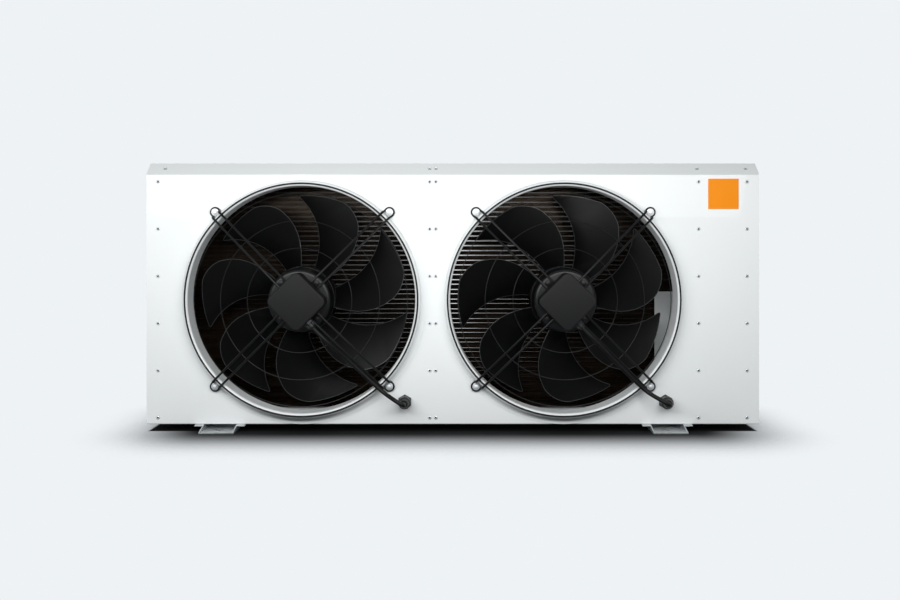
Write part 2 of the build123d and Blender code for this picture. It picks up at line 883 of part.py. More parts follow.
# Wire guards: four hairpin rods, their tabs on the motor, one thick and three thin rings
ring_height = bell_crest_height + ring_wire / 2
rod_height = ring_height + (ring_wire + rod_wire) / 2 - weld
rod_start = cover_side / 2 + tab_clearance
tab_s = rod_start + tab_length / 2
rod_top = tab_front + rod_wire / 2 - weld
rod_fall = (rod_top - rod_height) / (ring_r - rod_start)
eye_height = bell_sheet + rod_wire / 2
eye_bend_r = rod_spacing / 2
shoulder_s = ring_r + rod_shoulder


def rod_forward(s):
    """How far in front of the panel a rod's middle is at s along it."""
    return rod_height + rod_fall * (ring_r - s)


def rod_plane(fan_x, turn):
    """Plane of one hairpin rod: local x points outward along the rod, local z forward."""
    along = Vector(cos(radians(turn)), 0, sin(radians(turn)))
    return Plane(origin=(fan_x, panel_y, fan_z), x_dir=along, z_dir=(0, -1, 0))


def make_guard(fan_x):
    """One welded guard."""
    with BuildPart() as guard:
        for turn in [rod_angle + 90 * i for i in range(4)]:
            frame = rod_plane(fan_x, turn)
            with BuildLine(frame) as rod_path:
                leg = Polyline(
                    (rod_start, eye_bend_r, rod_top),
                    (shoulder_s, eye_bend_r, rod_forward(shoulder_s)),
                    (shoulder_s + rod_drop, eye_bend_r, eye_height),
                    (eye_r, eye_bend_r, eye_height),
                )
                other = Polyline(
                    (rod_start, -eye_bend_r, rod_top),
                    (shoulder_s, -eye_bend_r, rod_forward(shoulder_s)),
                    (shoulder_s + rod_drop, -eye_bend_r, eye_height),
                    (eye_r, -eye_bend_r, eye_height),
                )
                ThreePointArc(leg @ 1, (eye_r + eye_bend_r, 0, eye_height), other @ 1)
            start = Plane(origin=leg @ 0, x_dir=frame.y_dir, z_dir=leg % 0)
            with BuildSketch(start):
                Rectangle(rod_wire, rod_wire)
            sweep(path=rod_path.wire(), transition=Transition.RIGHT)
            with BuildSketch(rod_plane(fan_x, turn).offset(flange_front)):
                with Locations((tab_s, 0)):
                    Rectangle(tab_length, tab_width)
            extrude(amount=tab_thickness)
        with BuildSketch(fan_plane(fan_x, ring_height - ring_wire / 2)):
            RegularPolygon(ring_r + ring_wire / 2, ring_sides)
            RegularPolygon(ring_r - ring_wire / 2, ring_sides, mode=Mode.SUBTRACT)
        extrude(amount=ring_wire)
        for r in [ring_r * share for share in thin_ring_shares]:
            wire_back = rod_forward(r) - rod_wire / 2 - thin_wire + weld
            with BuildSketch(fan_plane(fan_x, wire_back)):
                RegularPolygon(r + thin_wire / 2, ring_sides)
                RegularPolygon(r - thin_wire / 2, ring_sides, mode=Mode.SUBTRACT)
            extrude(amount=thin_wire)
    return guard


guards = {side: make_guard(fan_x) for side, fan_x in fans.items()}
for side, guard in guards.items():
    save(guard, f"{side}_guard")

# Studs on the bell rims with the washers and nuts that hold the eyes, and the tab screws
washer_front = eye_height + rod_wire / 2 + guard_washer_thickness
stud_front = washer_front + guard_nut_height + 1
with BuildPart() as guard_nuts:
    for fan_x in fans.values():
        with BuildSketch(fan_plane(fan_x, bell_sheet)):
            with PolarLocations(eye_r, 4, rod_angle):
                RegularPolygon(guard_stud_r, 8)
        extrude(amount=stud_front - bell_sheet)
        with BuildSketch(fan_plane(fan_x, washer_front)):
            with PolarLocations(eye_r, 4, rod_angle):
                RegularPolygon(guard_washer_r, 16)
        extrude(amount=-guard_washer_thickness)
        with BuildSketch(fan_plane(fan_x, washer_front)):
            with PolarLocations(eye_r, 4, rod_angle):
                RegularPolygon(guard_nut / 2, 6, major_radius=False)
        extrude(amount=guard_nut_height)
save(guard_nuts, "guard_nuts")

with BuildPart() as guard_screws:
    for fan_x in fans.values():
        with BuildSketch(fan_plane(fan_x, tab_front)):
            with PolarLocations(tab_s, 4, rod_angle):
                RegularPolygon(guard_screw_head / 2, 6, major_radius=False)
        extrude(amount=guard_screw_height)
save(guard_screws, "guard_screws")


# Cable glands in the panel and on the motor covers
def make_panel_gland(fan_x):
    """Hexagon on the panel, round dome in front and thread through the panel."""
    with BuildPart() as gland:
        with BuildSketch(fan_plane(fan_x)):
            with Locations(gland_points):
                RegularPolygon(gland_nut / 2, 6, major_radius=False)
        extrude(amount=gland_nut_height)
        with BuildSketch(fan_plane(fan_x, gland_nut_height)):
            with Locations(gland_points):
                Circle(gland_dome_r)
        extrude(amount=gland_height - gland_nut_height)
        with BuildSketch(fan_plane(fan_x)):
            with Locations(gland_points):
                Circle(gland_thread_r)
        extrude(amount=-gland_thread_length)
    return gland


def make_motor_gland(fan_x):
    """Hexagon and dome on the lower right side of a motor cover."""
    seat = fan_plane(fan_x).from_local_coords(along_rods(cover_side / 2, cable_side, cable_forward))
    facing = Plane(origin=seat, x_dir=(0, -1, 0), z_dir=(1, 0, -1))
    with BuildPart() as gland:
        with BuildSketch(facing):
            RegularPolygon(motor_gland_nut / 2, 6, major_radius=False)
        extrude(amount=motor_gland_nut_height)
        with BuildSketch(facing.offset(motor_gland_nut_height)):
            Circle(motor_gland_dome_r)
        extrude(amount=motor_gland_length - motor_gland_nut_height)
    return gland


with BuildPart() as lock_nuts:
    for fan_x in fans.values():
        with BuildSketch(fan_plane(fan_x, -sheet)):
            with Locations(gland_points):
                RegularPolygon(gland_nut / 2, 6, major_radius=False)
                Circle(gland_thread_r + seat_fit, mode=Mode.SUBTRACT)
        extrude(amount=-lock_nut_height)
save(lock_nuts, "lock_nuts")


# Motor cables: straight runs and round bends from gland to gland
def bend_radii(points):
    """Bend radius at each corner, a little under half of the shorter run beside it."""
    radii = []
    for before, corner, after in zip(points, points[1:], points[2:]):
        run_in = Vector(*corner) - Vector(*before)
        run_out = Vector(*after) - Vector(*corner)
        half_turn = radians(run_in.get_angle(run_out)) / 2
        radii.append(0.45 * min(run_in.length, run_out.length) / tan(half_turn))
    return radii


cable_start = (cover_side / 2 + motor_gland_length, cable_side, cable_forward)
cable_route = [(cable_start[0] + cable_straight, cable_side, cable_forward)]
for share, lift in cable_lifts:
    s = cable_route[0][0] + share * (ring_r - cable_route[0][0])
    cable_route.append((s, cable_side, rod_forward(s) + lift))
hop_s = ring_r + cable_hop
cable_route.append((hop_s, cable_side - 2, rod_forward(hop_s) + cable_hop_lift))
cable_route.append((gland_s - cable_arch, cable_r, cable_arch_height))
cable_end = ((gland_s, 0, gland_height + cable_drop), (gland_s, 0, gland_height))
cable_points = [along_rods(*point) for point in (cable_start, *cable_route, *cable_end)]


def make_cable(fan_x):
    """One cable held between the gland on the motor and the gland in the panel."""
    with BuildPart() as cable:
        with BuildLine(fan_plane(fan_x)) as path:
            FilletPolyline(*cable_points, radius=bend_radii(cable_points))
        with BuildSketch(path.line ^ 0):
            RegularPolygon(cable_r, 8)
        sweep(path=path.wire())
    return cable


for side, fan_x in fans.items():
    save(make_panel_gland(fan_x), f"{side}_panel_gland")
    save(make_motor_gland(fan_x), f"{side}_motor_gland")
    save(make_cable(fan_x), f"{side}_cable")
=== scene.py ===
import json
from math import atan2, cos, pi, radians, sin, sqrt

import bmesh
import bpy
from bpy.props import FloatProperty, FloatVectorProperty, IntProperty, PointerProperty, StringProperty
from mathutils import Matrix, Vector


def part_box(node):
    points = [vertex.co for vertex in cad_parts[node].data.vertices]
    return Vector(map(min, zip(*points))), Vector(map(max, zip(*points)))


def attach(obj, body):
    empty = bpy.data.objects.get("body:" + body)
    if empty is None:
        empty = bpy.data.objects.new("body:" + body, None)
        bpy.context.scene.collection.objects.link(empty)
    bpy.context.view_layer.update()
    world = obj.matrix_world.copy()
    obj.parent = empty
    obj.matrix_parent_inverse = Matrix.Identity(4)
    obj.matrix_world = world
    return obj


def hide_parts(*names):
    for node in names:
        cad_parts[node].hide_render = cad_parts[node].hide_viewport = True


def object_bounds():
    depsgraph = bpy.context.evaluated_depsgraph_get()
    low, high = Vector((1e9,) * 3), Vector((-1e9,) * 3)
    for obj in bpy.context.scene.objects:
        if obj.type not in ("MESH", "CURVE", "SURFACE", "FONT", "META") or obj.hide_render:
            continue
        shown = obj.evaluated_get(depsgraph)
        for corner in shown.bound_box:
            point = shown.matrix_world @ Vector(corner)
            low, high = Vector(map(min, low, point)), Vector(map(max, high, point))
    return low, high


bl_info = {
    "name": "Dry Cooler",
    "version": (1, 0, 0),
    "blender": (4, 5, 0),
    "location": "3D View > Sidebar > Dry Cooler",
    "description": "Detailed parts, finishes and a studio for a dry cooler with two fans",
    "category": "Object",
}

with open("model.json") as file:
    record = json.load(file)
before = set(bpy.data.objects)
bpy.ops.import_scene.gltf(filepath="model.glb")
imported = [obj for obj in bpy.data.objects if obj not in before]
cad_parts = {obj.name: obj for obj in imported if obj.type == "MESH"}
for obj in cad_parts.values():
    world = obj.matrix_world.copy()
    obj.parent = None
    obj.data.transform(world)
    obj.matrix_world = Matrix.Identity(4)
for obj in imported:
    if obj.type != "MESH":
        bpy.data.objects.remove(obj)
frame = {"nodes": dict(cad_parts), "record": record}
cad_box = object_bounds()

AXLES = {joint["child"]: Vector(joint["pos_m"]) for joint in frame["record"]["behaviour"]["joints"]}
HOME = AXLES["left_rotor"]  # where the left fan's axis meets the front of the panel
SPREAD = AXLES["right_rotor"] - HOME  # from the left fan to the right one
PANEL_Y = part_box("front_panel")[0][1]
FRONT = Vector((0, -1, 0))  # out of the panel, the way the air goes
FOLD = 0.0015  # thickness of the sheet of panel and bell mouths
CREST = 0.024  # height of the bell mouths' foremost circle before the panel
WELD = 0.0005  # how deep welded wires sink into each other
ROD_TURNS = (45, 135, 225, 315)  # directions of the guards' rods round a fan, in degrees
TAB_FRONT = 0.0605  # height of the front of the rods' tabs before the panel
TAB_REACH = 0.0075  # from a rod's end at the motor to the middle of its tab
FINISH = {}  # finishes by the name of the record's slot


# Sizes and colours that a user would change

def size(name, description, default, least=-1.0):
    """Length property in metres."""
    return FloatProperty(
        name=name, description=description, default=default, min=least, unit="LENGTH", precision=4,
    )


class CoilSizes(bpy.types.PropertyGroup):
    """Sizes of the finned coil."""

    fin_pitch: size("Fin pitch", "Distance from one fin to the next", 0.0021, 0.001)
    fin_thickness: size("Fin thickness", "Thickness of one fin", 0.0003, 0.0001)
    tube_pitch: size("Tube pitch", "Distance between tubes of one row", 0.025, 0.012)
    row_pitch: size("Row pitch", "Distance between rows of tubes", 0.02165, 0.012)
    tube_radius: size("Tube radius", "Outside radius of the tubes", 0.00475, 0.002)
    tubes: IntProperty(name="Tubes", description="Tubes in each row", default=24, min=2)
    rows: IntProperty(name="Rows", description="Rows of tubes behind each other", default=3, min=1)


class FanSizes(bpy.types.PropertyGroup):
    """Sizes of bell mouths, guards and motors."""

    throat_radius: size("Throat radius", "Inside radius of the bell mouth", 0.271, 0.2)
    crest_radius: size("Crest radius", "Radius of the bell mouth's foremost circle", 0.2775, 0.2)
    rim_radius: size("Rim radius", "Outside radius of the bell mouth's rim", 0.299, 0.2)
    ring_radius: size("Ring radius", "Radius of the guard's thick ring", 0.277, 0.1)
    ring_wire: size("Ring wire", "Diameter of the thick ring's wire", 0.004, 0.001)
    rod_wire: size("Rod wire", "Diameter of the rods", 0.0055, 0.001)
    thin_wire: size("Thin wire", "Diameter of the thin rings' wire", 0.0019, 0.0005)
    rod_spacing: size("Rod spacing", "Distance between the two legs of one rod", 0.0206, 0.01)
    eye_radius: size("Eye radius", "Distance of the rods' eyes from the fan axis", 0.295, 0.1)
    thin_rings: FloatVectorProperty(
        name="Thin rings", description="Radii of the thin rings as shares of the thick ring's",
        default=(0.913, 0.679, 0.444), size=3,
    )
    cover_side: size("Cover side", "Side of the square motor cover", 0.102, 0.03)
    cover_height: size("Cover height", "Height of the motor cover", 0.050, 0.01)
    cover_corner: size("Cover corner", "Radius of the cover's upright corners", 0.015, 0.002)
    housing_radius: size("Housing radius", "Radius of the round motor housing", 0.077, 0.03)
    housing_front: size("Housing front", "Front of the motor housing, from the panel", 0.058, 0.01)


class BladeSizes(bpy.types.PropertyGroup):
    """Sizes of the fan blades: sheet rolled about a skewed axis and cut to a sickle."""

    blades: IntProperty(name="Blades", description="Blades on each fan", default=7, min=3)
    root_radius: size("Root radius", "Radius of the rotor cup", 0.079, 0.02)
    tip_radius: size("Tip radius", "Radius of the blade tips", 0.252, 0.05)
    thickness: size("Thickness", "Thickness of the blade sheet", 0.0035, 0.001)
    roll_radius: size("Roll radius", "Radius to which the sheet is rolled", 0.270, 0.1)
    middle: size("Middle", "Height of the blade's middle before the panel", -0.026)
    pitch: FloatProperty(
        name="Pitch", description="Angle between blade and fan plane", default=radians(34), unit="ROTATION",
    )
    back_rounding: size("Back rounding", "Rounding of the tip's trailing corner", 0.034, 0.0)
    front_rounding: size("Front rounding", "Rounding of the tip's leading corner", 0.008, 0.0)


class CableSizes(bpy.types.PropertyGroup):
    """Sizes of the motor cables and their glands."""

    cable_radius: size("Cable radius", "Radius of the cable's sheath", 0.005, 0.001)
    nut_width: size("Nut width", "Width across flats of the panel gland", 0.030, 0.01)
    dome_radius: size("Dome radius", "Radius of the panel gland's dome nut", 0.015, 0.005)
    gland_height: size("Gland height", "Height of the panel gland", 0.040, 0.01)
    gland_distance: size("Gland distance", "Distance of the panel gland from the fan axis", 0.3472, 0.1)


class FittingSizes(bpy.types.PropertyGroup):
    """Sizes of the threaded connections."""

    thread_radius: size("Thread radius", "Outside radius of the thread", 0.0209, 0.005)
    thread_pitch: size("Thread pitch", "Pitch of the thread", 0.0023, 0.0005)
    hex_width: size("Hexagon width", "Width across flats of the hexagon", 0.050, 0.01)


class ScrewSizes(bpy.types.PropertyGroup):
    """Sizes of the sheet-metal screws."""

    head_radius: size("Head radius", "Radius of a screw head", 0.0041, 0.001)
    head_height: size("Head height", "Height of a screw head", 0.0018, 0.0005)


class Finishes(bpy.types.PropertyGroup):
    """Main colours as sRGB hex values."""

    casing: StringProperty(name="Casing", description="Powder coat of the casing", default="F3F6F6")
    orange: StringProperty(name="Orange plate", description="Film of the blank plate", default="FF9700")
    black: StringProperty(name="Black coat", description="Coat of the guards", default="0A0B0C")
    cover: StringProperty(name="Motor cover", description="Plastic of the motor covers", default="0A0B0C")
    background: StringProperty(name="Background", description="Backdrop and floor", default="EEF2F5")


GROUPS = {
    "coil": CoilSizes, "fan": FanSizes, "blade": BladeSizes, "cable": CableSizes,
    "fitting": FittingSizes, "screw": ScrewSizes, "colours": Finishes,
}


class CoolerSettings(bpy.types.PropertyGroup):
    """All sizes and colours of the cooler."""

    __annotations__ = {
        name: PointerProperty(type=group, name=name.title(), description=group.__doc__)
        for name, group in GROUPS.items()
    }


def sizes():
    """The scene's own sizes and colours."""
    return bpy.context.scene.dry_cooler


# Shaders

def linear(code):
    """Linear colour with alpha for an sRGB hex value."""
    parts = [int(code[i:i + 2], 16) / 255 for i in (0, 2, 4)]
    return [p / 12.92 if p <= 0.04045 else ((p + 0.055) / 1.055) ** 2.4 for p in parts] + [1.0]


def add(tree, kind, values=None, **settings):
    """Add a shader node. Values go to its inputs: a socket is linked, anything else is set."""
    node = tree.nodes.new("ShaderNode" + kind)
    for name, value in settings.items():
        setattr(node, name, value)
    for name, value in (values or {}).items():
        if isinstance(value, bpy.types.NodeSocket):
            tree.links.new(value, node.inputs[name])
        else:
            node.inputs[name].default_value = value
    return node


def maths(tree, operation, *values):
    """Result of a calculation with numbers."""
    return add(tree, "Math", dict(enumerate(values)), operation=operation).outputs["Value"]


def vector_maths(tree, operation, *values, result="Vector"):
    """Result of a calculation with vectors."""
    return add(tree, "VectorMath", dict(enumerate(values)), operation=operation).outputs[result]


def remap(tree, value, before=(0.0, 1.0), after=(0.0, 1.0), **settings):
    """Value carried from one range to another and held inside it."""
    limits = {"From Min": before[0], "From Max": before[1], "To Min": after[0], "To Max": after[1]}
    return add(tree, "MapRange", {"Value": value, **limits}, **settings).outputs["Result"]


def blend(tree, share, first, second):
    """Colour between two others."""
    values = {"Factor": share, "A": first, "B": second}
    return add(tree, "Mix", values, data_type="RGBA").outputs["Result"]


def new_material(name):
    """Material with its nodes and its shader."""
    material = bpy.data.materials.new(name)
    material.use_nodes = True
    return material, material.node_tree, material.node_tree.nodes["Principled BSDF"]


def feed(tree, node, **sockets):
    """Link sockets to a node's inputs."""
    for name, socket in sockets.items():
        tree.links.new(socket, node.inputs[name.replace("_", " ")])


def finish(name, colour, tone, patch_mm, rough, rough_span, grain_mm, depth_mm, specular=0.5, **inputs):
    """Surface whose colour drifts towards tone in patches, with grain in its gloss and relief."""
    material, tree, shader = new_material(name)
    for key, value in {"Specular_IOR_Level": specular, **inputs}.items():
        shader.inputs[key.replace("_", " ")].default_value = value
    spot = add(tree, "TexCoord").outputs["Object"]
    patches = add(tree, "TexNoise", {"Vector": spot, "Scale": 1000 / patch_mm, "Detail": 5.0})
    grain = add(tree, "TexNoise", {"Vector": spot, "Scale": 1000 / grain_mm, "Detail": 3.0})
    relief = {"Height": grain.outputs["Fac"], "Distance": depth_mm / 1000, "Strength": 0.6}
    feed(
        tree, shader,
        Base_Color=blend(tree, patches.outputs["Fac"], linear(colour), linear(tone)),
        Roughness=remap(tree, grain.outputs["Fac"], after=(rough - rough_span, rough + rough_span)),
        Normal=add(tree, "Bump", relief).outputs["Normal"],
    )
    return material


def spangled_zinc():
    """Hot-dip galvanised sheet: flat crystals some 8 mm wide, each with its own tone and gloss."""
    material, tree, shader = new_material("Galvanised sheet")
    shader.inputs["Metallic"].default_value = 0.85
    spot = add(tree, "TexCoord").outputs["Object"]
    blur = add(tree, "TexNoise", {"Vector": spot, "Scale": 90.0, "Detail": 2.0}).outputs["Color"]
    bent = add(tree, "Mix", {"Factor": 0.04, "A": spot, "B": blur}, data_type="VECTOR")
    crystals = add(tree, "TexVoronoi", {"Vector": bent.outputs["Result"], "Scale": 1000 / 8})
    feed(
        tree, shader,
        Base_Color=blend(tree, crystals.outputs["Color"], linear("B9BDBF"), linear("D9DCDD")),
        Roughness=remap(tree, crystals.outputs["Color"], after=(0.32, 0.5)),
    )
    return material


def coated_foil():
    """Fin foil with a dark coat, a warm mirror for light along it, and dull bare metal at its edges."""
    material = finish(
        "Coated fin foil", "1C1713", "120E0B", 40, 0.17, 0.04, 6.0, 0.005, 0.4,
        Specular_Tint=(1.0, 0.80, 0.62, 1.0),
    )
    tree = material.node_tree
    shader = tree.nodes["Principled BSDF"]
    coat = shader.inputs["Base Color"].links[0].from_socket
    normal = add(tree, "NewGeometry").outputs["Normal"]
    edge = maths(tree, "ABSOLUTE", add(tree, "SeparateXYZ", {"Vector": normal}).outputs["Y"])
    feed(tree, shader, Base_Color=blend(tree, edge, coat, linear("46392D")))
    return material


def make_finishes(colours):
    """All finishes by the name of the record's slot."""
    return {
        # Polyester powder coat on sheet steel: satin white with a slight orange peel
        "casing_paint": finish(
            "Powder coat", colours.casing, "EEF2F2", 260, 0.42, 0.04, 3.0, 0.02, Coat_Weight=0.15,
        ),
        # Hot-dip galvanised steel sheet of frames, end plates and feet
        "galvanized_sheet": spangled_zinc(),
        # Coated aluminium foil: nearly black faces, brownish bare edges
        "coil_fins": coated_foil(),
        # Drawn copper tube with years of oxide: dull dark brown with redder patches
        "copper": finish("Copper tube", "2A1A13", "150D09", 30, 0.55, 0.08, 2.0, 0.02, 0.15),
        # Turned brass: yellow, with fine rings from the tool
        "brass_fittings": finish("Turned brass", "C9A45A", "B58F48", 20, 0.25, 0.08, 1.0, 0.02, Metallic=1.0),
        # Moulded EPDM: deep black, dry surface
        "rubber_black": finish("Moulded rubber", "141414", "1C1C1C", 12, 0.75, 0.08, 0.8, 0.03),
        # Die-cast aluminium with a black coat: satin, with a pebbled skin
        "black_steel": finish("Black casting coat", "0A0B0C", "101112", 30, 0.33, 0.06, 1.6, 0.03, 0.32),
        # Steel wire with a black dip coat: smooth and slightly glossy
        "black_wire": finish("Coated wire", colours.black, "121315", 20, 0.42, 0.05, 1.2, 0.01, 0.32),
        # Cathodic dip coat on sheet steel blades: even black, satin, dust along the surface
        "fan_black": finish("Dip coat", "050505", "080808", 60, 0.42, 0.06, 2.0, 0.01, 0.15),
        # Painted highlight on the blades' rounded edges, over the same coat: dark grey, a little glossier
        "painted_blade_highlight": finish("Painted edge highlight", "47494B", "343637", 12, 0.3, 0.06, 2.0, 0.01),
        # Fibre-filled polyamide, moulded and spark-eroded: near black, fine matt grain
        "cover_plastic": finish(
            "Moulded polyamide", colours.cover, "08090A", 50, 0.58, 0.05, 0.9, 0.03, 0.27,
        ),
        # Moulded nylon of the glands: black, silky
        "gland_plastic": finish("Moulded nylon", "0C0D0E", "141516", 10, 0.4, 0.05, 0.7, 0.02, 0.5),
        # Extruded PVC sheath: black with a dull sheen
        "cable_sheath": finish("Cable sheath", "0A0A0B", "111112", 15, 0.45, 0.06, 1.0, 0.02, 0.25),
        # Zinc-plated steel: bright, slightly blue
        "zinc_fasteners": finish("Zinc plating", "EEF1F3", "DCE0E3", 6, 0.45, 0.08, 0.8, 0.01, Metallic=0.65),
        # Painted shade on the sides and in the recess of the zinc-plated screw heads: dull dark grey
        "painted_screw_shade": finish("Painted screw shade", "3A3D3F", "2B2D2F", 4, 0.6, 0.08, 0.8, 0.01, Metallic=0.4),
        # Ground steel: bright with fine lines round the shaft
        "shaft_steel": finish("Ground steel", "C4C6C8", "AEB1B4", 8, 0.22, 0.05, 0.5, 0.01, Metallic=1.0),
        # Blank polyester film on a thin plate: glossy, even orange
        "label_orange": finish("Orange film", colours.orange, "FC9300", 40, 0.35, 0.03, 4.0, 0.005, 0.1),
    }


# Modelling

def clear():
    """Leave edit mode and deselect everything."""
    if bpy.context.object and bpy.context.object.mode != "OBJECT":
        bpy.ops.object.mode_set(mode="OBJECT")
    bpy.ops.object.select_all(action="DESELECT")


def facing(direction):
    """Rotation that turns local Z to a direction."""
    return Vector((0, 0, 1)).rotation_difference(Vector(direction)).to_euler()


def disc(middle, direction, radius, length, sides=48, tip=None):
    """Round or many-sided bar around its middle; tip is the radius at its far end."""
    clear()
    bpy.ops.mesh.primitive_cone_add(
        vertices=sides, radius1=radius, radius2=radius if tip is None else tip, depth=length,
        location=middle, rotation=facing(direction),
    )
    return bpy.context.object


def block(middle, scale, turn=(0, 0, 0)):
    """Box around its middle."""
    clear()
    bpy.ops.mesh.primitive_cube_add(size=1, location=middle, scale=scale, rotation=turn)
    return bpy.context.object


def place(obj):
    """Put an object's place, turn and size into its mesh."""
    clear()
    obj.select_set(True)
    bpy.context.view_layer.objects.active = obj
    bpy.ops.object.transform_apply(location=True, rotation=True, scale=True)
    return obj


def pick(obj, kind, test):
    """Enter edit mode and select the edges or faces whose middle and direction pass a test."""
    if obj.mode != "EDIT":
        place(obj)
        bpy.ops.object.mode_set(mode="EDIT")
    bpy.ops.mesh.select_mode(type=kind)
    bpy.ops.mesh.select_all(action="DESELECT")
    mesh = bmesh.from_edit_mesh(obj.data)
    if kind == "EDGE":
        for edge in mesh.edges:
            start, end = (vert.co for vert in edge.verts)
            edge.select_set(test((start + end) / 2, end - start))
    else:
        for face in mesh.faces:
            face.select_set(test(face.calc_center_median(), face.normal))
    mesh.select_flush_mode()
    bmesh.update_edit_mesh(obj.data)


def modify(obj, kind, **settings):
    """Add a modifier and apply it."""
    place(obj)
    modifier = obj.modifiers.new("step", kind)
    for name, value in settings.items():
        setattr(modifier, name, value)
    bpy.ops.object.modifier_apply(modifier=modifier.name)
    return obj


def softened(obj, width):
    """Object with its sharp edges rounded."""
    return modify(obj, "BEVEL", width=width, segments=2)


def repeated(obj, step, count):
    """Row of an object and its copies, each one step further."""
    return modify(
        obj, "ARRAY", use_relative_offset=False, use_constant_offset=True,
        constant_offset_displace=step, count=count,
    )


def edit_all(obj):
    """Enter edit mode with everything selected."""
    place(obj)
    bpy.ops.object.mode_set(mode="EDIT")
    bpy.ops.mesh.select_mode(type="VERT")
    bpy.ops.mesh.select_all(action="SELECT")


def line(points):
    """Chain of edges through the points."""
    clear()
    bpy.ops.mesh.primitive_plane_add(size=0.001, location=points[0])
    bpy.ops.object.mode_set(mode="EDIT")
    bpy.ops.mesh.select_mode(type="VERT")
    bpy.ops.mesh.select_all(action="SELECT")
    bpy.ops.mesh.merge(type="CENTER")
    for start, end in zip(points, points[1:]):
        step = Vector(end) - Vector(start)
        bpy.ops.mesh.extrude_region_move(TRANSFORM_OT_translate={"value": step})
    clear()
    return bpy.context.object


def outward(obj):
    """Turn all faces of the object in edit mode outward and leave edit mode."""
    bpy.ops.mesh.select_all(action="SELECT")
    bpy.ops.mesh.normals_make_consistent(inside=False)
    clear()
    return obj


def rounded(points):
    """Points with a round bend at each corner, as far as the shorter run beside it allows."""
    share, steps = 0.45, 8
    chain = [points[0]]
    for before, corner, after in zip(points, points[1:], points[2:]):
        back, ahead = before - corner, after - corner
        reach = share * min(back.length, ahead.length)
        first, last = corner + back.normalized() * reach, corner + ahead.normalized() * reach
        for i in range(steps + 1):
            t = i / steps
            chain.append((1 - t) ** 2 * first + 2 * t * (1 - t) * corner + t ** 2 * last)
    return chain + [points[-1]]


def round_steps(middle, radius, first, last, steps):
    """Points of a round stretch of a profile, angles in degrees."""
    angles = [radians(first + (last - first) * i / steps) for i in range(steps + 1)]
    return [(middle[0] + radius * cos(a), middle[1] + radius * sin(a)) for a in angles]


def parabola(values, share):
    """Value at a share of the way, on the parabola through three evenly spaced values."""
    a, b, c = values
    return a + share * (4 * b - 3 * a - c) + share ** 2 * (2 * a - 4 * b + 2 * c)


def wire(points, radius, rounds=2):
    """Round wire along a chain of points."""
    obj = place(line(points))
    bpy.ops.object.convert(target="CURVE")
    obj.data.bevel_depth = radius
    obj.data.bevel_resolution = rounds
    obj.data.use_fill_caps = True
    bpy.ops.object.convert(target="MESH")
    return bpy.context.object


def ring(middle, radius, thickness, around, section):
    """Round wire ring square to the fan axis."""
    clear()
    bpy.ops.mesh.primitive_torus_add(
        major_segments=around, minor_segments=section, location=middle, rotation=facing((0, 1, 0)),
        major_radius=radius, minor_radius=thickness / 2,
    )
    return bpy.context.object


def turned(profile, middle, steps=96, wall=0.0, direction=(0, -1, 0)):
    """Shape spun about an axis through middle; profile points are radius and height along direction."""
    side = Vector((1, 0, 0)) if abs(direction[0]) < 0.5 else Vector((0, 1, 0))
    obj = line([Vector(middle) + side * r + Vector(direction) * h for r, h in profile])
    edit_all(obj)
    bpy.ops.mesh.spin(steps=steps, angle=2 * pi, center=middle, axis=direction)
    bpy.ops.mesh.select_all(action="SELECT")
    bpy.ops.mesh.remove_doubles(threshold=0.00001)
    outward(obj)
    if wall:
        modify(obj, "SOLIDIFY", thickness=wall, offset=-1.0)
    return obj


def slab(points, move):
    """Flat outline through the points, drawn out by a vector."""
    obj = line(points)
    edit_all(obj)
    bpy.ops.mesh.edge_face_add()
    bpy.ops.mesh.extrude_region_move(TRANSFORM_OT_translate={"value": move})
    return outward(obj)


def hexagon(middle, direction, width, height, edge=0.0008):
    """Six-sided head or nut with its outer corners broken."""
    head = disc(middle, direction, width / sqrt(3), height, 6)
    way = Vector(direction).normalized()
    pick(head, "FACE", lambda spot, normal: normal.dot(way) > 0.9)
    bpy.ops.mesh.bevel(offset=edge, segments=2)
    clear()
    return head


def cut(obj, tool, operation):
    """Boolean with a tool that is used up."""
    modify(obj, "BOOLEAN", operation=operation, object=tool, solver="EXACT")
    bpy.data.objects.remove(tool)


def joined(objects):
    """Several objects as one."""
    for obj in objects:
        place(obj)
    clear()
    for obj in objects:
        obj.select_set(True)
    bpy.context.view_layer.objects.active = objects[0]
    bpy.ops.object.join()
    return objects[0]


def copied(obj, move=(0, 0, 0), turn=0.0):
    """Copy with its own mesh, moved, or turned about the left fan's axis."""
    place(obj)
    twin = obj.copy()
    twin.data = obj.data.copy()
    bpy.context.collection.objects.link(twin)
    change = Matrix.Translation(Vector(move))
    if turn:
        spin = Matrix.Rotation(turn, 4, FRONT)
        change = Matrix.Translation(HOME) @ spin @ Matrix.Translation(-HOME) @ change
    twin.data.transform(change)
    return twin


def hand_over(obj, name, slot, nodes=(), angle=40, body="casing"):
    """Name a finished piece, shade it, give it its finish and let it ride on its body."""
    place(obj)
    bpy.ops.object.shade_smooth_by_angle(angle=radians(angle))
    obj.name = name
    obj.data.name = name
    if not obj.data.materials:
        obj.data.materials.append(FINISH[slot])
    if nodes:
        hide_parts(*nodes)
    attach(obj, body)


def before_fan(out, aside, height, turn):
    """Point before the left fan: out along a direction, aside square to it, height before the panel."""
    angle = radians(turn)
    along = Vector((cos(angle), 0, sin(angle)))
    across = Vector((-sin(angle), 0, cos(angle)))
    return HOME + along * out + across * aside + FRONT * height


def for_both(obj, name, slot, node, rotor=False, angle=40):
    """Hand over a piece of the left fan and its copy for the right fan."""
    twin = copied(obj, SPREAD)
    for piece, side in ((obj, "left"), (twin, "right")):
        body = f"{side}_rotor" if rotor else "casing"
        hand_over(piece, f"{side}_{name}", slot, [node.format(side)], angle, body)


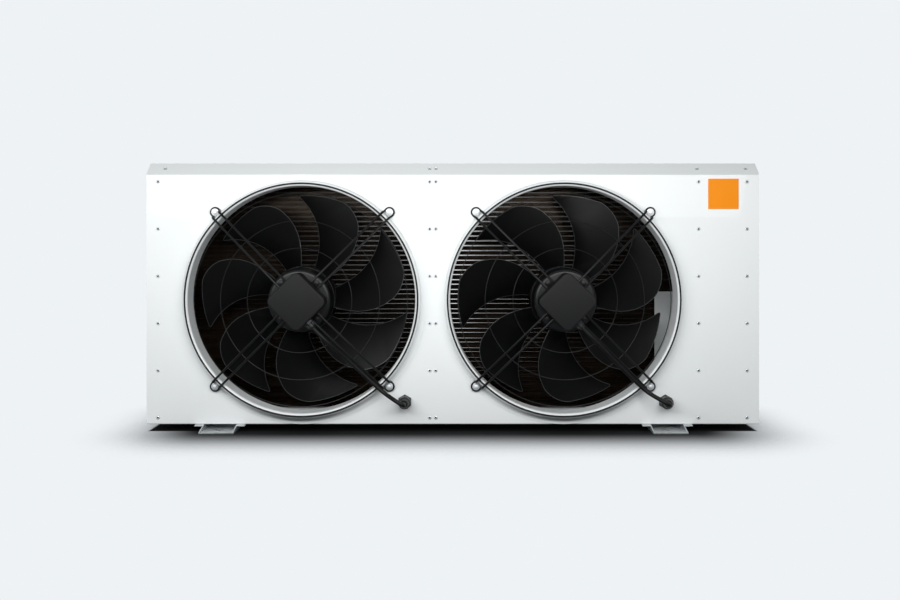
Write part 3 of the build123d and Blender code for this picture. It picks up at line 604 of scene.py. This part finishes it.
def rod_level(out):
    """Height of the guard rods' middle before the panel at a distance from the fan axis."""
    s = sizes().fan
    low = CREST + s.ring_wire + s.rod_wire / 2 - WELD
    high = TAB_FRONT + s.rod_wire / 2 - WELD
    start = s.cover_side / 2 + WELD
    return low + (high - low) * (s.ring_radius - out) / (s.ring_radius - start)


class COOLER_OT_finishes(bpy.types.Operator):
    """Make the finishes and give each CAD piece its own"""

    bl_idname = "cooler.finishes"
    bl_label = "Finishes"

    def execute(self, context):
        FINISH.update(make_finishes(sizes().colours))
        for part in frame["record"]["subparts"]:
            obj = frame["nodes"][part["node"]]
            obj.data.materials.clear()
            obj.data.materials.append(FINISH[part["material_slot"]])
        return {"FINISHED"}


class COOLER_OT_coil(bpy.types.Operator):
    """Model the stack of fins and the straight tubes through it"""

    bl_idname = "cooler.coil"
    bl_label = "Coil"

    def execute(self, context):
        s = sizes().coil
        low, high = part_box("coil_block")
        width, depth, height = (high[i] - low[i] for i in range(3))
        first = (low[0] + s.fin_pitch / 2, low[1] + depth / 2, low[2] + height / 2)
        fins = block(first, (s.fin_thickness, depth, height))
        repeated(fins, (s.fin_pitch, 0, 0), int(width / s.fin_pitch))
        hand_over(fins, "coil_fins", "coil_fins", ["coil_block"])
        rows = []
        for row in range(s.rows):
            shift = s.tube_pitch / 4 if row % 2 else -s.tube_pitch / 4
            back, bottom = low[1] + (row + 0.5) * s.row_pitch, low[2] + s.tube_pitch / 2
            lowest = ((low[0] + high[0]) / 2, back, bottom + shift)
            tube = disc(lowest, (1, 0, 0), s.tube_radius, width, sides=16)
            rows.append(repeated(tube, (0, 0, s.tube_pitch), s.tubes))
        hand_over(joined(rows), "coil_tubes", "copper", ["coil_block"])
        return {"FINISHED"}


class COOLER_OT_bell_mouths(bpy.types.Operator):
    """Model the drawn bell mouths"""

    bl_idname = "cooler.bell_mouths"
    bl_label = "Bell mouths"

    def execute(self, context):
        s = sizes().fan
        flare, curve = 0.006, s.crest_radius - s.throat_radius  # radii outside and inside the crest
        foot, throat_end = s.crest_radius + flare, -0.036
        profile = [
            (s.rim_radius, FOLD),
            (foot + 0.004, FOLD),
            (foot + 0.0015, FOLD + 0.0012),
            *round_steps((s.crest_radius, CREST - flare), flare, 0, 90, 8),
            *round_steps((s.crest_radius, CREST - curve), curve, 90, 180, 12)[1:],
            (s.throat_radius, throat_end),
        ]
        bell = turned(profile, HOME, steps=128, wall=FOLD)
        for_both(bell, "drawn_bell", "casing_paint", "{}_bell_mouth")
        return {"FINISHED"}


class COOLER_OT_guards(bpy.types.Operator):
    """Model the welded wire guards"""

    bl_idname = "cooler.guards"
    bl_label = "Wire guards"

    def rod(self, s, start, turn):
        """Hairpin rod: from the motor down over the thick ring, round the stud and back."""
        half = s.rod_spacing / 2
        knee = s.ring_radius + 0.010
        knee_height = rod_level(knee)
        eye_height = FOLD + s.rod_wire / 2
        leg = [
            (start, rod_level(start)),
            (knee - 0.004, knee_height + 0.0005),
            (knee - 0.001, knee_height - 0.002),
            (knee + 0.001, eye_height + 0.003),
            (knee + 0.004, eye_height),
        ]
        bends = [pi * i / 12 for i in range(13)]
        points = [before_fan(out, half, height, turn) for out, height in leg]
        points += [
            before_fan(s.eye_radius + half * sin(a), half * cos(a), eye_height, turn) for a in bends
        ]
        points += [before_fan(out, -half, height, turn) for out, height in reversed(leg)]
        return wire(points, s.rod_wire / 2)

    def execute(self, context):
        s = sizes().fan
        start = s.cover_side / 2 + WELD
        length, thickness, width = 0.015, 0.0025, 0.027  # tab between a rod's legs
        drop_radius, drop_height = 0.0034, 0.0022  # drop of weld between rod and thin ring
        pieces = []
        for turn in ROD_TURNS:
            pieces.append(self.rod(s, start, turn))
            middle = before_fan(start + TAB_REACH, 0, TAB_FRONT - thickness / 2, turn)
            tab = block(middle, (length, thickness, width), (0, -radians(turn), 0))
            pieces.append(softened(tab, 0.0006))
            for share in s.thin_rings:
                for aside in (-s.rod_spacing / 2, s.rod_spacing / 2):
                    out = sqrt((s.ring_radius * share) ** 2 - aside ** 2)
                    middle = before_fan(out, aside, rod_level(out) - s.rod_wire / 2, turn)
                    pieces.append(softened(disc(middle, FRONT, drop_radius, drop_height, 12), 0.0008))
        pieces.append(ring(HOME + FRONT * (CREST + s.ring_wire / 2), s.ring_radius, s.ring_wire, 160, 12))
        for share in s.thin_rings:
            radius = s.ring_radius * share
            height = rod_level(radius) - s.rod_wire / 2 - s.thin_wire / 2 + WELD
            pieces.append(ring(HOME + FRONT * height, radius, s.thin_wire, 128, 8))
        for_both(joined(pieces), "wire_guard", "black_wire", "{}_guard")
        return {"FINISHED"}


class COOLER_OT_blades(bpy.types.Operator):
    """Model one blade from rolled sheet and copy it round both rotors"""

    bl_idname = "cooler.blades"
    bl_label = "Fan blades"
    back_sweep = (0, 4.3, 22.5)  # trailing edge at root, half way and tip, in degrees
    front_sweep = (33, 41, 57)  # leading edge at the same radii

    def outline(self, s):
        """Sickle outline as radii and angles in degrees."""
        def corner(radius, rounding):
            depth = max(radius - s.tip_radius + rounding, 0)
            return (rounding - sqrt(rounding ** 2 - depth ** 2)) / radius * 180 / pi

        bent = max(s.back_rounding, s.front_rounding)
        straight = s.tip_radius - bent
        radii = [s.root_radius - 0.001 + (straight - s.root_radius) * i / 7 for i in range(8)]
        radii += [straight + bent * sin(pi / 2 * i / 10) for i in range(1, 11)]
        back, front = [], []
        for radius in radii:
            share = (radius - s.root_radius) / (s.tip_radius - s.root_radius)
            back.append((radius, parabola(self.back_sweep, share) + corner(radius, s.back_rounding)))
            front.append((radius, parabola(self.front_sweep, share) - corner(radius, s.front_rounding)))
        tip = [(s.tip_radius, back[-1][1] + (front[-1][1] - back[-1][1]) * i / 6) for i in range(1, 6)]
        root = [(radii[0], front[0][1] + (back[0][1] - front[0][1]) * i / 4) for i in range(1, 4)]
        return back + tip + front[::-1] + root

    def execute(self, context):
        s = sizes().blade
        first, halfway = 244, radians(267)  # directions of the blade's trailing root and of its middle
        radial = Vector((cos(halfway), 0, sin(halfway)))
        around = Vector((-sin(halfway), 0, cos(halfway)))
        chord = around * cos(s.pitch) - FRONT * sin(s.pitch)
        across = (radial + chord).normalized()
        axis = (radial - chord).normalized()
        middle = HOME + radial * (s.root_radius + s.tip_radius) / 2 + FRONT * s.middle
        centre = middle + axis.cross(across) * s.roll_radius
        points = [
            HOME + Vector((r * cos(radians(first + a)), 0.12, r * sin(radians(first + a))))
            for r, a in self.outline(s)
        ]
        blade = slab(points, FRONT * 0.18)
        for slot in ("fan_black", "painted_blade_highlight"):
            blade.data.materials.append(FINISH[slot])
        outer = disc(centre, axis, s.roll_radius + s.thickness / 2, 0.6, 256)
        inner = disc(centre, axis, s.roll_radius - s.thickness / 2, 0.7, 256)
        cut(blade, place(outer), "INTERSECT")
        cut(blade, place(inner), "DIFFERENCE")
        edit_all(blade)
        bpy.ops.mesh.remove_doubles(threshold=0.0006)
        # The rounded edges take the second finish, a painted highlight
        modify(
            blade, "BEVEL", width=s.thickness * 0.45, segments=3, limit_method="ANGLE",
            angle_limit=radians(50), use_clamp_overlap=False, material=1,
        )
        blades = [blade] + [copied(blade, turn=2 * pi * i / s.blades) for i in range(1, s.blades)]
        for_both(joined(blades), "sickle_blades", "fan_black", "{}_fan_blades", rotor=True, angle=32)
        return {"FINISHED"}


class COOLER_OT_motors(bpy.types.Operator):
    """Model rotor cups, round motor housings and the square covers with their seam"""

    bl_idname = "cooler.motors"
    bl_label = "Motors"

    def cup(self):
        """Open cup with a boss round the shaft."""
        outer, inner, bore, boss = 0.079, 0.062, 0.0061, 0.018
        back, floor, boss_front, front = -0.060, -0.054, -0.044, 0.006
        corner, lip = 0.009, 0.0015
        return turned(
            [
                (bore, back), (outer - corner, back),
                *round_steps((outer - corner, back + corner), corner, -90, 0, 6)[1:],
                *round_steps((outer - lip, front - lip), lip, 0, 90, 3),
                (inner + lip, front), (inner, front - lip), (inner, floor), (boss, floor),
                (boss, boss_front), (bore, boss_front), (bore, back),
            ],
            HOME,
        )

    def housing(self, radius, front):
        """Round housing with a tube at its back that holds the bearings."""
        edge, draft = 0.009, 0.003
        back, tube, tube_back, bore, bore_front = 0.0095, 0.020, -0.036, 0.01402, 0.029
        narrow = radius - draft - edge
        return turned(
            [
                (0, front), (narrow, front), *round_steps((narrow, front - edge), edge, 90, 4, 8)[1:],
                (radius, back + 0.0025), (radius - 0.001, back), (tube, back), (tube, tube_back),
                (bore, tube_back), (bore, bore_front), (0, bore_front),
            ],
            HOME,
        )

    def execute(self, context):
        s = sizes().fan
        for_both(self.cup(), "rotor_shell", "fan_black", "{}_rotor_cup", rotor=True)
        housing = self.housing(s.housing_radius, s.housing_front)
        for_both(housing, "round_housing", "black_steel", "{}_motor_housing")
        parts = []
        seam_back, seam_front, seam_depth = 0.62, 0.645, 0.001
        for first, last, inset, edge in (
            (0.0, seam_back, 0.0, 0.001),
            (seam_back, seam_front, seam_depth, 0.0),
            (seam_front, 1.0, 0.0, 0.003),
        ):
            side, height = s.cover_side - 2 * inset, s.cover_height * (last - first)
            level = s.housing_front + s.cover_height * (first + last) / 2
            part = block(HOME + FRONT * level, (side, height, side), (0, radians(45), 0))
            pick(part, "EDGE", lambda middle, way: abs(way.normalized().y) > 0.99)
            bpy.ops.mesh.bevel(offset=s.cover_corner - inset, segments=10)
            if edge:
                pick(part, "FACE", lambda middle, normal: normal.y < -0.99)
                bpy.ops.mesh.bevel(offset=edge, segments=4)
            parts.append(part)
        for_both(joined(parts), "cover_shell", "cover_plastic", "{}_motor_cover")
        return {"FINISHED"}


class COOLER_OT_fasteners(bpy.types.Operator):
    """Model washers, flange nuts and studs of the rods' eyes, and the screws of the tabs"""

    bl_idname = "cooler.fasteners"
    bl_label = "Guard fasteners"

    def execute(self, context):
        s = sizes().fan
        level = FOLD + s.rod_wire
        washer_radius, washer_height = 0.0088, 0.0015
        flange_radius, flange_tip, flange_height = 0.0072, 0.0064, 0.0012
        nut_width, nut_height, nut_middle = 0.010, 0.0042, 0.0044
        stud_radius, stud_length, stud_middle = 0.003, 0.012, 0.0076
        flange_middle = level + washer_height + flange_height / 2
        heights = (level + washer_height / 2, flange_middle, level + nut_middle, stud_middle)
        tab = s.cover_side / 2 + WELD + TAB_REACH
        rim_radius, rim_tip, rim_height = 0.0066, 0.006, 0.001
        head_width, head_height = 0.010, 0.003
        nuts, screws = [], []
        for turn in ROD_TURNS:
            washer, flange, nut, stud = (before_fan(s.eye_radius, 0, h, turn) for h in heights)
            washer = disc(washer, FRONT, washer_radius, washer_height, 32)
            nuts += [
                softened(washer, 0.0003),
                disc(flange, FRONT, flange_radius, flange_height, 32, tip=flange_tip),
                hexagon(nut, FRONT, nut_width, nut_height),
                softened(disc(stud, FRONT, stud_radius, stud_length, 20), 0.0006),
            ]
            rim = before_fan(tab, 0, TAB_FRONT + rim_height / 2, turn)
            screws.append(disc(rim, FRONT, rim_radius, rim_height, 32, tip=rim_tip))
            head = before_fan(tab, 0, TAB_FRONT + rim_height + head_height / 2, turn)
            screws.append(hexagon(head, FRONT, head_width, head_height))
        for_both(joined(nuts), "eye_nuts", "zinc_fasteners", "guard_nuts", angle=30)
        tab_screws = joined(screws)
        tab_screws.data.materials.append(FINISH["black_wire"])
        for_both(tab_screws, "tab_screws", "black_steel", "guard_screws", angle=30)
        return {"FINISHED"}


class COOLER_OT_cables(bpy.types.Operator):
    """Model the ribbed glands and the motor cables held between them"""

    bl_idname = "cooler.cables"
    bl_label = "Cables and glands"
    ribs = 36

    def gland(self, seat, way, width, nut, radius, length):
        """Hexagon, ribbed dome nut with a rounded front and the seal round the cable."""
        way = Vector(way).normalized()
        collar = turned(
            [
                (0, nut), (radius * 0.9, nut), (radius * 0.9, length * 0.7),
                *round_steps((radius * 0.62, length * 0.7), radius * 0.28, 0, 55, 4)[1:],
                (radius * 0.6, length), (radius * 0.45, length),
                (radius * 0.42, length - 0.001), (0, length - 0.001),
            ],
            seat, steps=48, direction=way,
        )
        end = length * 0.68
        grip = disc(seat + way * (nut + end) / 2, way, radius * 0.95, end - nut, self.ribs)
        pick(grip, "FACE", lambda spot, normal: abs(normal.dot(way)) < 0.1 and self.raised(spot - seat, way))
        bpy.ops.mesh.inset(thickness=0.0004, depth=0.0006, use_individual=True)
        clear()
        return [hexagon(seat + way * nut / 2, way, width, nut, 0.0012), collar, grip]

    def raised(self, spot, way):
        """Whether a rib stands at this place round a gland."""
        side = Vector((1, 0, 0)) if abs(way.x) < 0.5 else Vector((0, 1, 0))
        turn = atan2(spot.dot(way.cross(side)), spot.dot(side))
        return int((turn / (2 * pi) + 1) * self.ribs + 0.01) % 2 == 0

    def execute(self, context):
        s = sizes().cable
        fan = sizes().fan
        turn = -45  # beside the lower right rod
        seat = before_fan(s.gland_distance, 0, 0, turn)
        panel_gland = self.gland(seat, FRONT, s.nut_width, 0.008, s.dome_radius, s.gland_height)
        panel_gland.append(disc(seat - FRONT * 0.006, FRONT, 0.010, 0.012, 32))
        for_both(joined(panel_gland), "ribbed_gland", "gland_plastic", "{}_panel_gland", angle=30)
        half = fan.cover_side / 2
        aside, height = -0.018, 0.084  # the cable leaves the cover here
        way = before_fan(1, 0, 0, turn) - HOME
        motor_gland = self.gland(before_fan(half, aside, height, turn), way, 0.022, 0.006, 0.0095, 0.020)
        for_both(joined(motor_gland), "motor_side_gland", "gland_plastic", "{}_motor_gland", angle=30)
        bend = half + 0.061
        stops = [(half + 0.017, aside, height), (bend, aside, height)]
        for share, lift in ((0.38, 0.00585), (0.75, 0.003)):
            out = bend + share * (fan.ring_radius - bend)
            stops.append((out, aside, rod_level(out) + lift))
        out = fan.ring_radius + 0.015
        stops += [
            (out, -0.016, rod_level(out) + 0.009),
            (s.gland_distance - 0.019, -0.005, 0.064),
            (s.gland_distance, 0, s.gland_height + 0.024),
            (s.gland_distance, 0, s.gland_height - 0.003),
        ]
        cable = wire(rounded([before_fan(*stop, turn) for stop in stops]), s.cable_radius, rounds=4)
        for_both(cable, "motor_cable", "cable_sheath", "{}_cable")
        return {"FINISHED"}


class COOLER_OT_fittings(bpy.types.Operator):
    """Model the threaded connections at the rear"""

    bl_idname = "cooler.fittings"
    bl_label = "Threaded connections"

    def execute(self, context):
        s = sizes().fitting
        low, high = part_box("inlet_nipple")
        seat = Vector(((low[0] + high[0]) / 2, low[1], (low[2] + high[2]) / 2))
        length = high[1] - low[1]
        back = Vector((0, 1, 0))
        hex_height, pipe_seat, bore = 0.014, 0.01402, 0.0125
        chamfer, thread_start = 0.0012, 0.0145
        hexes = hexagon(seat + back * hex_height / 2, back, s.hex_width, hex_height, chamfer)
        cut(hexes, place(disc(seat + back * 0.005, back, pipe_seat, 0.024, 48)), "DIFFERENCE")
        root = s.thread_radius - 0.0015
        core = turned(
            [
                (bore, hex_height), (root, hex_height), (root, length - chamfer), (root - chamfer, length),
                (bore, length), (bore, hex_height),
            ],
            seat, steps=64, direction=back,
        )
        inside = root - 0.0003
        tooth = ((inside, 0), (s.thread_radius, 0.45), (inside, 0.9), (inside, 0))
        ridge = line([Vector((radius, s.thread_pitch * share, 0)) for radius, share in tooth])
        edit_all(ridge)
        bpy.ops.mesh.remove_doubles(threshold=0.00001)
        modify(
            ridge, "SCREW", axis="Y", angle=2 * pi, screw_offset=s.thread_pitch,
            iterations=int((length - thread_start) / s.thread_pitch) - 1,
            steps=48, render_steps=48, use_merge_vertices=True,
        )
        ridge.location = seat + back * thread_start
        edit_all(ridge)
        outward(ridge)
        nipple = joined([hexes, core, ridge])
        twin = copied(nipple, Vector(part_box("outlet_nipple")[0]) - Vector(low))
        hand_over(nipple, "inlet_thread_fitting", "brass_fittings", ["inlet_nipple"], 30)
        hand_over(twin, "outlet_thread_fitting", "brass_fittings", ["outlet_nipple"], 30)
        return {"FINISHED"}


def evenly(low, high, count, margin=0.03):
    """Places at even distances between two ends, a margin away from both."""
    return [low + margin + i * (high - low - 2 * margin) / (count - 1) for i in range(count)]


class COOLER_OT_screws(bpy.types.Operator):
    """Model one pan-head screw and set it along the panel, the slope and the rear edges"""

    bl_idname = "cooler.screws"
    bl_label = "Sheet-metal screws"

    def head(self, s):
        """Pan head with painted shade on its sides and in its recess."""
        head = disc((0, 0, s.head_height / 2), (0, 0, 1), s.head_radius, s.head_height, sides=16)
        pick(head, "FACE", lambda middle, normal: normal.z > 0.9)
        bpy.ops.mesh.bevel(offset=s.head_height * 0.45, segments=2)
        pick(head, "FACE", lambda middle, normal: normal.z > 0.9)
        bpy.ops.mesh.inset(thickness=s.head_radius * 0.3)
        bpy.ops.mesh.extrude_region_move(TRANSFORM_OT_translate={"value": (0, 0, -s.head_height * 0.6)})
        bpy.ops.transform.resize(value=(0.7, 0.7, 1.0))
        clear()
        for slot in ("zinc_fasteners", "painted_screw_shade"):
            head.data.materials.append(FINISH[slot])
        recess = s.head_radius * 0.45
        # The sides and the recess take the second finish: painted shade
        pick(head, "FACE", lambda middle, normal: abs(normal.z) < 0.3 or middle.xy.length < recess)
        head.active_material_index = 1
        bpy.ops.object.material_slot_assign()
        return place(head)

    def spots(self):
        """Place and direction of each screw."""
        spots = []
        low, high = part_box("front_panel")
        from_top, step, from_bottom = 0.0182, 0.1132, 0.0146
        for x in (-0.707, -0.0554, -0.0408, 0.5897, 0.7058):
            for level in range(6):
                z = high[2] - from_top - level * step
                if z < low[2] + 0.005:
                    z = low[2] + from_bottom
                spots.append((Vector((x, PANEL_Y, z)), (0, -1, 0)))
        low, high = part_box("header_cover")
        for z in evenly(low[2], high[2], 5):
            for x in (low[0] + 0.010, high[0] - 0.010):
                spots.append((Vector((x, high[1], z)), (0, 1, 0)))
        low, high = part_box("top_cover")
        for x in evenly(low[0], high[0], 7):
            spots.append((Vector((x, high[1], low[2] + 0.012)), (0, 1, 0)))
        run, rise = 0.034, high[2] - low[2]
        slope = Vector((0, -rise, run)).normalized()
        for x in (-0.6945, -0.0558, -0.0411, 0.5897, 0.7067):
            spots.append((Vector((x, PANEL_Y + run / 2, low[2] + rise / 2)), slope))
        return spots

    def execute(self, context):
        head = self.head(sizes().screw)
        heads = []
        for spot, direction in self.spots():
            twin = copied(head)
            twin.data.transform(Matrix.Translation(spot) @ facing(direction).to_matrix().to_4x4())
            heads.append(twin)
        bpy.data.objects.remove(head)
        hand_over(joined(heads), "panel_screws", "zinc_fasteners")
        return {"FINISHED"}


def paper_floor(pale):
    """Pale paper with painted shadow: black where the casing covers it, dark round it, and not seen further
    off.
    """
    material, tree, shader = new_material("Paper floor with painted shadow")
    shader.inputs["Roughness"].default_value = 0.9
    shader.inputs["Specular IOR Level"].default_value = 0.1
    spot = add(tree, "TexCoord").outputs["Object"]
    # The black footprint under the casing is painted shadow
    front, back = PANEL_Y - 0.015, cad_box[1][1] - 0.03  # ends of the covered part
    middle = (0, (front + back) / 2, 0)
    half = (cad_box[1][0] - 0.0075, (back - front) / 2, 1)
    past = vector_maths(tree, "ABSOLUTE", vector_maths(tree, "SUBTRACT", spot, middle))
    past = add(tree, "SeparateXYZ", {"Vector": vector_maths(tree, "SUBTRACT", past, half)})
    rim = maths(tree, "MAXIMUM", past.outputs["X"], past.outputs["Y"])
    outside_painted_black_shadow = remap(tree, rim, (-0.004, 0.002))
    # Painted shadow round the casing: dark near it, fading to the pale paper further off
    painted_shadow_half = (0.575, 0.12, 0.0)
    beyond = vector_maths(tree, "SUBTRACT", vector_maths(tree, "ABSOLUTE", spot), painted_shadow_half)
    outside = vector_maths(tree, "MAXIMUM", beyond, (0.0, 0.0, 0.0))
    away = vector_maths(tree, "LENGTH", outside, result="Value")
    painted_shadow_fade = remap(tree, away, (0.02, 0.36), interpolation_type="SMOOTHSTEP")
    tone = blend(tree, painted_shadow_fade, linear("151617"), pale)
    feed(tree, shader, Base_Color=blend(tree, outside_painted_black_shadow, linear("020202"), tone))
    clearer = remap(tree, away, (0.02, 0.34), interpolation_type="SMOOTHSTEP")
    clear_share = maths(tree, "MULTIPLY", clearer, outside_painted_black_shadow)
    nothing = add(tree, "BsdfTransparent").outputs["BSDF"]
    both = add(tree, "MixShader", {0: clear_share, 1: shader.outputs["BSDF"], 2: nothing})
    feed(tree, tree.nodes["Material Output"], Surface=both.outputs["Shader"])
    return material


def studio_world(pale):
    """Even backdrop for the camera, pale behind for mirrors, and soft light for all else."""
    world = bpy.data.worlds.new("studio")
    world.use_nodes = True
    tree = world.node_tree
    soft = tree.nodes["Background"]
    soft.inputs["Color"].default_value = (0.93, 0.97, 1.0, 1.0)
    soft.inputs["Strength"].default_value = 0.22
    backdrop = add(tree, "Background", {"Color": pale, "Strength": 1.0})
    ray = add(tree, "LightPath").outputs
    way = add(tree, "TexCoord").outputs["Generated"]
    depth = add(tree, "SeparateXYZ", {"Vector": way}).outputs["Y"]
    mirrored = maths(tree, "MULTIPLY", ray["Is Glossy Ray"], remap(tree, depth, (-0.5, 0.3), (0.04, 0.75)))
    seen = maths(tree, "MAXIMUM", ray["Is Camera Ray"], mirrored)
    share = maths(tree, "MAXIMUM", seen, ray["Is Transmission Ray"])
    values = {0: share, 1: soft.outputs["Background"], 2: backdrop.outputs["Background"]}
    both = add(tree, "MixShader", values)
    feed(tree, tree.nodes["World Output"], Surface=both.outputs["Shader"])
    return world


class COOLER_OT_stage(bpy.types.Operator):
    """Set the floor, the lights, the background and the camera"""

    bl_idname = "cooler.stage"
    bl_label = "Studio"

    def lamp(self, context, name, spot, power, width, height):
        """Rectangular lamp that points at the fans."""
        bpy.ops.object.light_add(type="AREA", location=spot)
        lamp = context.object
        lamp.name = name
        lamp.data.shape = "RECTANGLE"
        lamp.data.size = width
        lamp.data.size_y = height
        lamp.data.energy = power
        aim = Vector((0, PANEL_Y, 0.35)) - Vector(spot)
        lamp.rotation_euler = aim.to_track_quat("-Z", "Y").to_euler()
        lamp.visible_camera = False
        lamp.visible_glossy = name == "front_light"

    def execute(self, context):
        pale = linear(sizes().colours.background)
        clear()
        bpy.ops.mesh.primitive_plane_add(size=9, location=(0, 0, 0))
        floor = bpy.context.object
        floor.name = "floor"
        floor.data.materials.append(paper_floor(pale))
        context.scene.world = studio_world(pale)
        self.lamp(context, "front_light", (-0.1, -1.2, 0.70), 18.3, 2.3, 0.35)
        self.lamp(context, "back_light", (-0.4, 2.4, 1.5), 60.0, 2.0, 1.2)
        distance, eye_level = 2.5, 0.468
        bpy.ops.object.camera_add(location=(0, PANEL_Y - distance, eye_level), rotation=(pi / 2, 0, 0))
        camera = context.object
        camera.data.sensor_width = 36
        camera.data.lens = 41.67
        camera.data.shift_x = -0.0031
        camera.data.shift_y = -0.0722
        context.scene.camera = camera
        context.scene.view_settings.view_transform = "Standard"
        return {"FINISHED"}


STEPS = (
    COOLER_OT_finishes, COOLER_OT_coil, COOLER_OT_bell_mouths, COOLER_OT_guards, COOLER_OT_blades,
    COOLER_OT_motors, COOLER_OT_fasteners, COOLER_OT_cables, COOLER_OT_fittings, COOLER_OT_screws,
    COOLER_OT_stage,
)


class COOLER_PT_panel(bpy.types.Panel):
    """Sizes, colours and steps of the cooler"""

    bl_idname = "COOLER_PT_panel"
    bl_label = "Dry Cooler"
    bl_space_type = "VIEW_3D"
    bl_region_type = "UI"
    bl_category = "Dry Cooler"

    def draw(self, context):
        column = self.layout.column()
        for name, group in GROUPS.items():
            for value in group.__annotations__:
                column.prop(getattr(sizes(), name), value)
        for step in STEPS:
            column.operator(step.bl_idname)


CLASSES = (*GROUPS.values(), CoolerSettings, *STEPS, COOLER_PT_panel)


def register():
    """Register the classes and the settings."""
    for item in CLASSES:
        bpy.utils.register_class(item)
    bpy.types.Scene.dry_cooler = PointerProperty(type=CoolerSettings)


def unregister():
    """Remove the settings and the classes."""
    del bpy.types.Scene.dry_cooler
    for item in reversed(CLASSES):
        bpy.utils.unregister_class(item)


def main():
    """Build everything in order."""
    register()
    for step in STEPS:
        family, name = step.bl_idname.split(".")
        getattr(getattr(bpy.ops, family), name)()


if __name__ == "__main__":
    main()
